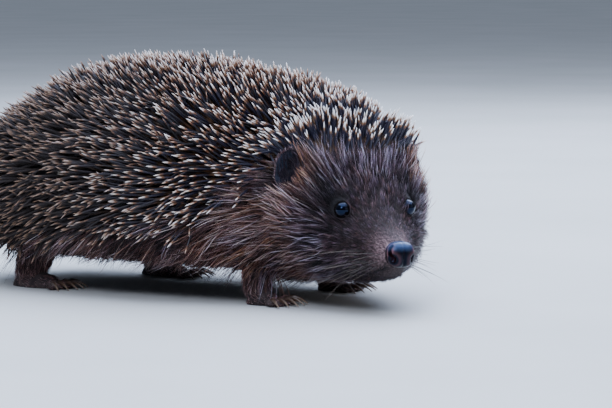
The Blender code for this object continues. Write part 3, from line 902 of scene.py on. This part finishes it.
# %% Strands as one mesh
def strand_mesh(name, paths, ups, width, outline, sides, uv_root, uv_size):
    """Thin closed prisms along many paths at once, with a UV patch for each at its root."""
    count, rings = paths.shape[:2]
    ways = np.gradient(paths, axis=1)
    across = unit(np.cross(ways, ups[:, None]))
    upward = unit(np.cross(across, ways))
    turn = ring(sides) + pi / 2
    radius = (width[:, None] / 2 * outline[None])[:, :-1, None, None]
    circle = (np.cos(turn)[None, None, :, None] * across[:, :-1, None]
              + np.sin(turn)[None, None, :, None] * upward[:, :-1, None])
    rows = paths[:, :-1, None] + circle * radius
    size = (rings - 1) * sides + 1
    points = np.concatenate([rows.reshape(count, -1, 3), paths[:, -1:]], 1).reshape(-1, 3)
    # One strand's faces: rings of four-sided faces, triangles at the tip and a cap at the root.
    corners, uvs, lengths = [], [], []
    level = np.linspace(0.1, 1, rings)
    for r in range(rings - 1):
        for j in range(sides):
            k = (j + 1) % sides
            high = [(r + 1) * sides + k, (r + 1) * sides + j]
            upper = [(j + 1, level[r + 1]), (j, level[r + 1])]
            if r == rings - 2:
                high, upper = [size - 1], [(j + 0.5, 1)]
            corners += [r * sides + j, r * sides + k] + high
            uvs += [(j, level[r]), (j + 1, level[r])] + upper
            lengths.append(2 + len(high))
    corners += list(range(sides))[::-1]
    uvs += [(sides * (0.5 + 0.5 * cos(t)), 0.04 + 0.04 * sin(t)) for t in turn[::-1]]
    lengths.append(sides)
    # The same faces for every strand.
    strand = np.arange(count)[:, None]
    loops = (strand * size + np.array(corners)[None]).ravel()
    starts = (strand * len(corners) + np.concatenate([[0], np.cumsum(lengths)[:-1]])).ravel()
    mesh = bpy.data.meshes.new(name)
    mesh.vertices.add(len(points))
    mesh.vertices.foreach_set("co", points.astype(np.float32).ravel())
    mesh.loops.add(len(loops))
    mesh.loops.foreach_set("vertex_index", loops.astype(np.int32))
    mesh.polygons.add(len(starts))
    mesh.polygons.foreach_set("loop_start", starts.astype(np.int32))
    mesh.update(calc_edges=True)
    patch = uv_root[:, None] + (np.array(uvs) / [sides, 1] - 0.5)[None] * uv_size
    mesh.uv_layers.new(name="OFBake").data.foreach_set("uv", patch.astype(np.float32).ravel())
    mesh.shade_smooth()
    return linked(name, mesh), size

# %% Keep the eyes and ears clear of hair
EYE_CLEAR, FLOOR_CLEAR, ROOT_SUNK = 4.05 * MM, 0.4 * MM, 0.5 * MM


def clear_of_eyes(paths):
    """Pushes hairs out of the line of sight of each eye, to the rim of its lids."""
    for side, _ in SIDES:
        ahead, aside = seen_by_eye(paths, side)
        across = np.linalg.norm(aside, axis=-1)
        push = np.maximum(0, EYE_CLEAR - across) * (np.abs(ahead) < 9 * MM)
        paths = paths + aside / (across[..., None] + 1e-6) * push[..., None]
    return paths


def clear_of_ears(paths, places):
    """Shortens the hairs that would cross an ear's opening, except low in front of it."""
    for side, sign in SIDES:
        local = seen_by_ear(paths, side)
        x, z = local[..., 0] / EAR_WIDTH, local[..., 2] / EAR_HEIGHT
        crossing = (np.hypot(x, z) < 0.98) & (z > -0.3) & (np.abs(local[..., 1] + 5 * MM) < 9 * MM)
        crossing &= -sign * x < 0.35 + 0.9 * z
        first = np.argmax(crossing, 1)
        share = np.where(crossing.any(1), np.maximum(places[np.maximum(first - 1, 0)], 0.12), 1.0)
        paths = paths[:, :1] + (paths - paths[:, :1]) * share[:, None, None]
    return paths

# %% Grow one piece of coat
def grow(name, kind, roots, normals, lies, length, width, rise, settle, sway, uv_root, marks, paint,
         locks=None, uv_size=(0.003, 0.003)):
    """One piece of coat. rise and settle are the lift off the skin at the root and the tip."""
    count = len(roots)
    length, width, rise, settle, sway = (np.broadcast_to(v, count)
                                         for v in (length, width, rise, settle, sway))
    places, outline, sides = OUTLINES[kind]
    path = roots - normals * ROOT_SUNK
    paths = [path]
    for low, high in zip(places, places[1:]):
        t = (low + high) / 2
        lift = (rise + (settle - rise) * t)[:, None]
        lie = turned_about(lies, normals, sway * t)
        path = path + (lie * np.cos(lift) + normals * np.sin(lift)) * (length * (high - low))[:, None]
        paths.append(path)
    paths = np.stack(paths, 1)
    if locks is not None:
        leader, pull = locks
        paths = paths + (paths[leader] - paths) * (pull[:, None] * places[None] ** 1.6)[..., None]
    paths = clear_of_eyes(paths)
    if locks is not None:
        paths = clear_of_ears(paths, places)
    paths[..., 2] = np.maximum(paths[..., 2], FLOOR + FLOOR_CLEAR)
    made, size = strand_mesh(name, paths, normals, width, outline, sides, uv_root, np.array(uv_size))
    along = np.append(np.repeat(places[:-1], sides), 1.0)
    carry(made.data, along=np.tile(along, count),
          **{key: np.repeat(np.broadcast_to(v, count), size) for key, v in marks.items()})
    made.data.materials.append(paint)
    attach(made, "root")
    tris = count * (2 * sides * (len(places) - 2) + sides + sides - 2)
    print(name, "strands:", count, "triangles:", tris)
    coat_triangles.append(tris)


def unwrapped(back, angle):
    """A root's place on the unwrapped body: round it across, and along it upwards."""
    return np.stack([0.01 + 0.98 * angle / TAU, 0.01 + 0.98 * back / LENGTH], -1)


coat_triangles = []

# %% [markdown]
# ## Spines
# A spine is a hollow keratin quill as thick as a stout pin. It is brown at the root, has a
# broad black-brown band and ends in a pale tip. On the crown the spines stand and fan out
# over the brow; on the back and flanks they lie back and overlap like thatch, and cross a
# little, because each one leans its own way. Towards the rump they are browner and duller,
# and they are painted darker there, more on the flanks than on top: painted shade.

# %% Spine material
# The near-white tips over near-black bands are what the eye reads as a hedgehog. Each spine
# shifts its bands and tints its tip a little, so that no two match; on the crown the tips are
# also painted paler and longer, a painted highlight.
spine_paint, tree, shader, marks = new_material("banded_keratin", "tone along faded", 0.36, 1.54,
                                                Specular_IOR_Level=0.38)
tone = marks["tone"]
shifted = add(tree, "ShaderNodeMath", {0: tone, 1: -0.07, 2: marks["along"]}, operation="MULTIPLY_ADD")
bands, rump_shade_colour, own_shade = (
    stops(add(tree, "ShaderNodeValToRGB", {"Fac": value}), pairs) for value, pairs in (
        (shifted, [(0.0, "#55463a"), (0.26, "#715a46"), (0.36, "#3d2d22"), (0.44, "#1f1e2f"),
                   (0.74, "#1d1a2a"), (0.83, "#80583a"), (0.885, "#e6d6ca"), (0.96, "#fffaf6")]),
        (shifted, [(0.0, "#241a17"), (0.76, "#241a17"), (0.9, "#775a45"), (1.0, "#84664f")]),
        (tone, [(0.0, "#ffffff"), (0.45, "#f2e3d6"), (0.75, "#c9ab96"), (1.0, "#8d6f5c")])))
rosy = layered(tree, bands, [(1.0, own_shade)], "MULTIPLY")
quill = layered(tree, rosy, [(marks["faded"], rump_shade_colour)])
space = add(tree, "ShaderNodeTexCoord", out="Object")
grain = add(tree, "ShaderNodeTexNoise", {"Vector": space, "Scale": 1 / (0.8 * MM), "Detail": 3.0})
mottled = layered(tree, quill, [(0.25, grain.node.outputs["Color"])], "OVERLAY")
dulled = add(tree, "ShaderNodeMath", {0: marks["faded"], 1: 0.42, 2: 0.36}, operation="MULTIPLY_ADD")
tree.links.new(dulled, shader.inputs["Roughness"])
finish(tree, shader, mottled, grain, 0.15, 0.05 * MM)

# %% Where the spines stand
SPINE_APART, SPINE_THICK, GROUP_APART = 1.68 * MM, 1.12 * MM, 5.5 * MM
STANDING = 1.42        # the lift in radians of the visor's spines, nearly upright
SPINE_SETTLES = 0.86   # how much of its lift off the skin a spine keeps at its tip
on_trunk = (face_proud < 2.5 * MM) & ~(any_ear[tri[:, 0]])
inside = into_spines(face_back, face_angle)
roots, normals = scatter(on_trunk & (inside > -1.5 * MM), SPINE_APART / 2.2)
kept = thinned(roots, SPINE_APART)
roots, normals = roots[kept], normals[kept]
count = len(roots)
back, angle, _ = places_of(roots)
away, edge = from_top(angle), into_spines(back, angle)
# How much each spine belongs to the crown, the top line, and the visor over the brow.
crown = 1 - ease((back - 44 * MM) / (46 * MM))
on_top = ease((radians(60) - away) / radians(35))
visor = ease((15 * MM - edge) / (12 * MM)) * ease((78 * MM - back) / (14 * MM))
visor = visor * ease((radians(75) - away) / radians(25))
print("spines:", count)

# %% How long they are, how they stand and the way they point
long_spine = (18.8 - 3.2 * crown - 1.0 * on_top) * MM * rng.normal(1, 0.07, count)
long_spine = long_spine * (1 - 0.25 * ease((2 * MM - edge) / (4 * MM)))
rise = np.arcsin(np.clip(coat_depth(back, angle) / long_spine, 0.1, 0.97))
rise = rise + crown * 0.06 + 0.18 * on_top * (1 - crown) + rng.normal(0, 0.14, count)
rise = rise + (STANDING - rise) * 0.9 * visor
long_spine = long_spine + 3.2 * MM * visor * ease(away / radians(40))
# Neighbours lean together in small groups, as the skin's muscle moves them.
group = leaders_of(roots, GROUP_APART)
fan = rng.normal(0, 0.30, count) * (1 + 0.6 * crown)
fan = fan + rng.normal(0, 0.32, count)[group] * (1 + 0.95 * crown)
rise = rise + rng.normal(0, 0.10, count)[group] * (1 + 0.8 * crown)
upright = ease((78 * MM - back) / (22 * MM)) * ease(away / radians(50))
low_flank = ease((away - radians(55)) / radians(70)) * ease((back - 55 * MM) / (60 * MM))
lies = lie_at(back, angle, normals, -0.7 * upright * (1 - visor) + 0.9 * low_flank)
lies = turned_about(lies, normals, fan)
# Towards the rump the spines are painted browner and darker, more on the flanks than on top: partly their
# own duller colour, partly painted shade.
faded = 0.95 * ease((back - 95 * MM) / (100 * MM)) * (0.15 + 0.85 * ease(away / radians(60)))
print("mean spine length, mm:", round(1000 * float(long_spine.mean()), 1))

# %% Spines, in three pieces from the crown to the rump
for letter, part in zip("abc", np.array_split(np.argsort(back), 3)):
    thick = SPINE_THICK * rng.normal(1, 0.1, len(part))
    # On the crown the pale tips are painted paler and longer: a painted highlight where light falls on the
    # crown.
    tone = rng.random(len(part)) * (1 - 0.7 * crown[part]) - 0.3 * crown[part]
    grow("spines_" + letter, "spine", roots[part], normals[part], lies[part], long_spine[part], thick,
         rise[part], rise[part] * SPINE_SETTLES, 0.0, unwrapped(back[part], angle[part]),
         {"tone": tone, "faded": faded[part]}, spine_paint, uv_size=(0.003, 0.006))

# %% [markdown]
# ## Fur
# The fur is coarse and grows in locks. Each hair is painted dark towards the root, a painted
# shade among the hairs, and a few long guard hairs are pale. A lock's hairs lean to a leader's
# tip, which gives the parted look. Real hairs are finer and far more, so these are thickened,
# and the skin's streaks fill the gaps.

# %% Fur material
# Grey brown to reddish brown, darkened towards the roots as painted shade, which gives the fur its depth.
# Where it is black, round the eyes, it is also less glossy, so that the wet eyes stand out.
fur_paint, tree, shader, marks = new_material("coarse_brown_fur", "tone along warm pale dark", 0.36, 1.55,
                                              Specular_IOR_Level=0.28)
cool, brown, root_shade = (
    stops(add(tree, "ShaderNodeValToRGB", {"Fac": marks[name]}), pairs) for name, pairs in (
        ("tone", [(0.0, "#150d12"), (0.25, "#37272f"), (0.45, "#644f5c"), (0.7, "#9f8a9c"),
                  (0.95, "#e2d9ee")]),
        ("tone", [(0.0, "#170b08"), (0.25, "#442417"), (0.45, "#804a2c"), (0.7, "#bd8050"),
                  (0.95, "#e8c4a2")]),
        ("along", [(0.0, "#1d181a"), (0.35, "#948e91"), (0.7, "#ffffff")])))
hair = layered(tree, cool, ((marks["warm"], brown), (marks["pale"], "#c89a9b"), (marks["dark"], "#0d0b0f")))
# Darker towards the roots: painted shade among the hairs.
hair = layered(tree, hair, [(1.0, root_shade)], "MULTIPLY")
gloss = add(tree, "ShaderNodeMath", {0: marks["dark"], 1: -0.2, 2: 0.28}, operation="MULTIPLY_ADD")
tree.links.new(gloss, shader.inputs["Specular IOR Level"])
space = add(tree, "ShaderNodeTexCoord", out="Object")
grain = add(tree, "ShaderNodeTexNoise", {"Vector": space, "Scale": 1 / (1.5 * MM), "Detail": 3.0})
mottled = layered(tree, hair, [(0.3, grain.node.outputs["Color"])], "OVERLAY")
finish(tree, shader, mottled, grain, 0.2, 0.05 * MM)

# %% Fur grower
EYE_BARE = 4.3 * MM    # no hair grows nearer to an eye than this
GUARD_SHARE = 0.09     # of the hairs behind the eyes
HAIR_TRIANGLES, PIECE_TRIANGLES = 23, 190000  # about as many as a hair has, and a piece's limit
FUR_SETTLES = 0.35     # how much of its lift off the skin a hair keeps at its tip


def fur(name, kind, chosen, spacing, length, width, lift, down, lock, spread=0.12, brighter=0.0):
    """A patch of fur. length, lift and down are numbers or functions of the root's place.

    lock is how far apart the leaders stand and how strongly they pull."""
    roots, normals = scatter(chosen, spacing)
    for side, _ in SIDES:
        hairy = distance(roots, eyes[side] + gazes[side] * 1.2 * MM) > EYE_BARE
        roots, normals = roots[hairy], normals[hairy]
    back, angle, _ = places_of(roots)
    count = len(roots)
    length, lift, down = (v(back, from_top(angle)) if callable(v) else v for v in (length, lift, down))
    lies = lie_at(back, angle, normals, down)
    lies = turned_about(lies, normals, rng.normal(0, spread, count))
    rise = lift + rng.normal(0, 0.09, count)
    strands = length * rng.normal(1, 0.16, count)
    apart, pulled = lock
    leaders = leaders_of(roots, apart)
    pulls = pulled * rng.uniform(0.5, 1.0, count)

    def by_lock(spread):
        """Random numbers that all the hairs of a lock share."""
        return rng.normal(0, spread, count)[leaders]

    tone = 0.8 * rng.beta(1.2, 2.4, count) + brighter + by_lock(0.13)
    guard = (rng.random(count) < GUARD_SHARE) & (back > EYES_BACK)
    tone = np.where(guard, rng.uniform(0.65, 1.0, count), tone)
    marks = markings(roots, back, angle)
    marks["tone"] = np.clip(tone, 0, np.where(back < EYES_BACK, 0.62, 1))
    marks["warm"] = np.clip(marks["warm"] + by_lock(0.16), 0, 1)
    strands = strands * np.where(guard, np.where(back < 82 * MM, 1.4, 1.15), 1.0)
    rise = rise + 0.06 * guard
    lies = turned_about(lies, normals, by_lock(0.13))
    sway = rng.normal(0, 0.08, count) + by_lock(0.12)
    thick = width * rng.uniform(0.75, 1.25, count) * np.where(guard, 1.25, 1.0)
    pieces = ceil(count * HAIR_TRIANGLES / PIECE_TRIANGLES)
    for letter, part in zip("abcd", np.array_split(np.argsort(back), pieces)):
        # A hair whose leader is in another piece stands alone.
        local = np.full(count, -1)
        local[part] = np.arange(len(part))
        leader = local[leaders[part]]
        pull = np.where(leader < 0, 0.0, pulls[part])
        leader = np.where(leader < 0, np.arange(len(part)), leader)
        grow(name + "_" + letter, kind, roots[part], normals[part], lies[part], strands[part],
             thick[part], rise[part], rise[part] * FUR_SETTLES, sway[part],
             unwrapped(back[part], angle[part]), {key: values[part] for key, values in marks.items()},
             fur_paint, (leader, pull))

# %% Where the fur grows, how long it is and how it turns down
def stretch(start, end):
    """The furry faces between two distances back from the nose, in millimetres."""
    return furry & (face_back >= start * MM) & (face_back < end * MM)


def by_back(backs, lengths):
    """Millimetres of hair that change with the distance back from the nose."""
    return lambda back, away: np.interp(back, mm(*backs), mm(*lengths))


def down_sides(most, begins):
    """How far the hair turns downwards, from some way off the top line on."""
    return lambda back, away: most * ease((away - begins) / begins)


face_away = from_top(face_angle)
furry = on_trunk & (inside < np.where(face_away < 0.9, 0.5, 2.0) * MM)
print("furry faces:", int(furry.sum()))

# %% Face fur: short and fine on the muzzle, longer towards the brow
fur("fur_muzzle", "hair", stretch(0, 22), 0.38 * MM, by_back([5, 12, 22], [1.2, 2.0, 3.4]), 0.14 * MM,
    lift=0.42, down=down_sides(0.25, 1.0), lock=(1.0 * MM, 0.35))
fur("fur_face", "hair", stretch(22, 33), 0.48 * MM, by_back([22, 33], [3.6, 6.5]), 0.16 * MM,
    lift=0.40, down=down_sides(0.45, 0.9), lock=(1.5 * MM, 0.55))
fur("fur_brow", "long_hair", stretch(33, 46), 0.50 * MM, by_back([33, 46], [9.0, 14.0]), 0.155 * MM,
    lift=0.46, down=down_sides(0.45, 0.9), lock=(2.2 * MM, 0.6), spread=0.08)

# %% Cheek, neck and ruff
fur("fur_cheek", "long_hair", stretch(46, 82), 0.72 * MM, by_back([46, 60, 82], [12.0, 15.0, 18.0]),
    0.195 * MM, lift=lambda back, away: 0.62 + 0.15 * ease((1.4 - away) / 0.4),
    down=down_sides(0.42, 0.9), lock=(2.6 * MM, 0.7), spread=0.18, brighter=0.16)

# %% Long hair that grows before each ear and half covers it
beside = np.abs(face_away - radians(74)) < radians(22)
before_ears = (np.abs(face_back - 48 * MM) < 4.5 * MM) & beside
fur("fur_before_ears", "long_hair", before_ears & on_trunk, 0.52 * MM, 12.5 * MM, 0.2 * MM,
    lift=0.85, down=-0.4, lock=(2.2 * MM, 0.6), spread=0.2, brighter=0.08)

# %% The skirt along the flanks, and the belly
flank = face_away < radians(140)
fur("fur_skirt", "long_hair", stretch(82, 300) & flank, 1.0 * MM,
    lambda back, away: MM * (18.0 - 2.0 * ease((back - 200 * MM) / (60 * MM))), 0.26 * MM,
    lift=0.50, down=0.9, lock=(3.2 * MM, 0.7), spread=0.18)
fur("fur_belly", "hair", stretch(82, 300) & ~flank, 1.4 * MM, 12.0 * MM, 0.32 * MM,
    lift=0.42, down=0.0, lock=(3.5 * MM, 0.6), spread=0.25)

# %% [markdown]
# Legs, feet, tail and ears carry short hair. Each limb is its own piece, and its roots are
# unwrapped round and up the limb.

# %% Short hair on the limbs and tail
off_body = (face_proud >= 2.5 * MM) & ~any_ear[tri[:, 0]] & (face_z > 1.2 * MM)
for side, _ in SIDES:
    off_body &= distance(skin_points[tri[:, 0]], eyes[side]) > 9 * MM
limbs = {name: centre for name, (centre, _) in foot_centres.items()}
limbs["tail"] = Vector((0, tail_tip.y, tail_tip.z))
for name, centre in limbs.items():
    is_leg = name != "tail"
    offset = skin_points[tri[:, 0]] - np.array(centre)
    close = np.linalg.norm(offset[:, :2], axis=1) < (26 * MM if is_leg else 22 * MM)
    close &= (face_z < 34 * MM) if is_leg else (face_back > 235 * MM)
    roots, normals = scatter(off_body & close, 0.8 * MM)
    count = len(roots)
    height = roots[:, 2] - FLOOR
    onto_foot = (1 - ease((height - 4 * MM) / (9 * MM))) * is_leg
    # Down the leg, then forwards over the foot; back and down on the tail.
    down_leg, over_foot, on_tail = np.array([[0, 0.25, -1.0], [0, -0.9, -0.25], [0, 0.9, -0.45]])
    lies = over_foot * onto_foot[:, None] + (down_leg if is_leg else on_tail) * (1 - onto_foot)[:, None]
    from_centre = roots - np.array(centre)
    uv_root = np.stack([0.5 + np.arctan2(from_centre[:, 0], from_centre[:, 1]) / TAU * 0.98,
                        np.clip(0.02 + height / (45 * MM), 0.02, 0.98)], -1)
    length = MM * (3.0 + 3.6 * (1 - onto_foot)) * rng.normal(1, 0.15, count)
    width = 0.2 * MM * rng.uniform(0.8, 1.2, count)
    rise = 0.38 + rng.normal(0, 0.08, count)
    sway = rng.normal(0, 0.2, count)
    grow("fur_" + name.replace("foot", "leg"), "hair", roots, normals, flattened(lies, normals), length,
         width, rise, 0.12, sway, uv_root,
         {"tone": rng.beta(1.5, 2.2, count), "dark": 0.0, "pale": 0.2 * onto_foot, "warm": 0.5},
         fur_paint)

# %% Ear hair: short on the back, fine strands inside painted dark as painted shade in the cup, and a pale fringe on the rim
for side, _ in SIDES:
    turn = np.array(ear_turns[side])
    roots, normals = scatter(in_ear[side][tri[:, 0]], 0.42 * MM)
    local = seen_by_ear(roots, side)
    rim = ease((np.hypot(local[:, 0] / EAR_WIDTH, local[:, 2] / EAR_HEIGHT) - 0.82) / 0.12)
    cupped = ((normals @ turn)[:, 1] < -0.2) & (rim < 0.5)
    keep = (rng.random(len(roots)) < np.where(cupped, 0.6, 1.0)) & (local[:, 2] > -8.5 * MM)
    roots, normals, local, rim, cupped = (v[keep] for v in (roots, normals, local, rim, cupped))
    count = len(roots)
    lies = np.stack([local[:, 0] * 0.45, 0 * rim, np.abs(local[:, 2]) + 6 * MM], -1) @ turn.T
    uv_root = np.stack([np.clip(0.25 + 0.5 * cupped + local[:, 0] / (36 * MM), 0.01, 0.99),
                        np.clip(0.5 + local[:, 2] / (24 * MM), 0.02, 0.98)], -1)
    tone = np.where(cupped, rng.uniform(0.1, 0.6, count), rng.uniform(0.1, 0.55, count))
    tone = np.where(rng.random(count) < 0.25 * rim, rng.uniform(0.6, 0.9, count), tone)
    length = MM * np.where(cupped, rng.uniform(3.0, 5.5, count), rng.uniform(1.6, 3.0, count))
    width = 0.15 * MM * rng.uniform(0.8, 1.2, count)
    grow("ear_hair_" + side, "hair", roots, normals, flattened(lies, normals), length, width,
         0.28 + 0.5 * rim + 0.4 * cupped, 0.12 + 0.45 * cupped, rng.normal(0, 0.3, count), uv_root,
         # Inside the cup the hairs are painted darker: painted shade in the ear's hollow.
         {"tone": tone, "dark": 0.6 * cupped, "pale": 0.1 * rim, "warm": 0.3 - 0.3 * cupped},
         fur_paint)

# %% [markdown]
# ## Whiskers
# The whiskers are thin, dark, stiff hairs in rows on the pads beside the nose, swept back.
# Curves with a bevel would do, but the fur's own grower makes them with a few more rings.

# %% Whiskers
# Smooth stiff keratin, dark at the root and paler at the tip, which shows as fine lines.
whisker_paint, tree, shader, marks = new_material("whisker_keratin", "along", 0.35, 1.55)
shade = stops(add(tree, "ShaderNodeValToRGB", {"Fac": marks["along"]}),
              [(0.0, "#17120f"), (0.5, "#43382f"), (1.0, "#9a8c7e")])
tree.links.new(shade, shader.inputs["Base Color"])
roots = np.array([skin_at((9.5 + 2.3 * step + 0.8 * row) * MM, pi / 2 - sign * radians(88 + 13 * row))
                  for _, sign in SIDES for row in range(3) for step in range(5)])
count = len(roots)
back, angle, _ = places_of(roots)
along, normals = tangents(back, angle)
lies = unit(along + np.array([0, 0, -0.25]) + rng.normal(0, 0.12, (count, 3)))
length = MM * (13 + 0.9 * (back / MM - 9)) * rng.uniform(0.85, 1.2, count)
rise, settle = rng.uniform(0.75, 1.0, count), rng.uniform(0.35, 0.6, count)
sway = rng.normal(0, 0.15, count)
grow("whiskers", "whisker", roots, normals, flattened(lies, normals), length, 0.22 * MM, rise, settle, sway,
     unwrapped(back, angle), {"tone": rng.random(count)}, whisker_paint)
print("coat triangles:", sum(coat_triangles), "skin:", len(skin.data.polygons))

# %% [markdown]
# ## Floor, light and camera
# A plain pale floor, soft lights and a long lens from 1.2 m away, close to the ground, show
# the animal as it is seen from in front of its right side.

# %% Floor
# Matt plaster, faintly clouded over a hand's breadth or so, so that it isn't a flat grey.
floor_paint, tree, shader, _ = new_material("pale_plaster", "", 0.8, 1.5)
space = add(tree, "ShaderNodeTexCoord", out="Object")
cloud = add(tree, "ShaderNodeTexNoise", {"Vector": space, "Scale": 6.0, "Detail": 5.0})
plaster = stops(add(tree, "ShaderNodeValToRGB", {"Fac": cloud}), [(0.3, "#c9c9c4"), (0.7, "#d2d1cd")])
tree.links.new(plaster, shader.inputs["Base Color"])
corners = [(-30, -30, FLOOR), (30, -30, FLOOR), (30, 30, FLOOR), (-30, 30, FLOOR)]
floor = as_object([(np.array(corners), [[0, 1, 2, 3]])], "floor", False)
floor.data.materials.append(floor_paint)
floor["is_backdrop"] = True

# %% Light
world = bpy.data.worlds.new("studio")
bpy.context.scene.world = world
world.use_nodes = True
tree = world.node_tree
direction = add(tree, "ShaderNodeTexCoord", out="Generated")
raised = add(tree, "ShaderNodeSeparateXYZ", {"Vector": direction}, "Z")
glow = stops(add(tree, "ShaderNodeValToRGB", {"Fac": raised}),
             [(0.0, "#7b8492"), (0.2, "#93a0b5"), (0.75, "#d3e2ff")])
tree.links.new(glow, tree.nodes["Background"].inputs["Color"])
tree.nodes["Background"].inputs["Strength"].default_value = 0.5


def soft_light(name, place, size, power, colour):
    """A rectangular lamp that looks at the animal."""
    lamp = bpy.data.lights.new(name, "AREA")
    lamp.shape, lamp.size, lamp.size_y, lamp.energy = "RECTANGLE", size[0], size[1], power
    lamp.color = linear(colour)[:3]
    made = linked(name, lamp)
    made.location = place
    made.rotation_euler = (Vector((0, 0, 0.05)) - Vector(place)).to_track_quat("-Z", "Y").to_euler()


# A wide sky from above, a small window whose reflection sits in each eye, a weak warm fill
# from in front, and a lamp on the far side that draws the edge of the cheek and the back.
soft_light("sky", (0.2, -0.1, 1.4), (2.2, 2.2), 84, "#d0e0ff")
soft_light("window", (-1.3, -0.5, 1.1), (0.45, 0.55), 16, "#e4ecff")
soft_light("fill", (0.25, -1.6, 0.5), (1.2, 0.8), 3, "#fff6ea")
soft_light("far_side", (1.05, 0.3, 1.05), (1.2, 1.0), 22, "#cfdfff")

# %% Camera
AZIMUTH, ELEVATION, DISTANCE = radians(-57), radians(5), 1.2
level = cos(ELEVATION)
away = Vector((sin(AZIMUTH) * level, -cos(AZIMUTH) * level, sin(ELEVATION)))
right = Vector((cos(AZIMUTH), sin(AZIMUTH), 0))
up = away.cross(right)
lens = bpy.data.cameras.new("camera")
lens.lens, lens.sensor_width = 173.6, 36.0
camera = linked("camera", lens)
camera.location = eyes["right"] + away * DISTANCE
# Aimed a little beside and above the near eye.
aim = eyes["right"] - right * 15.0 * MM + up * 2.4 * MM
camera.rotation_euler = (aim - camera.location).to_track_quat("-Z", "Y").to_euler()
bpy.context.scene.camera = camera
print("camera height, mm:", round(1000 * camera.location.z))

# %% Sizes, and the end
final_low, final_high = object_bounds()
sizes = {"cad": [list(cad_low), list(cad_high)], "visual": [list(final_low), list(final_high)]}
print("visual box, mm:", [round(1000 * x, 1) for x in final_high - final_low])
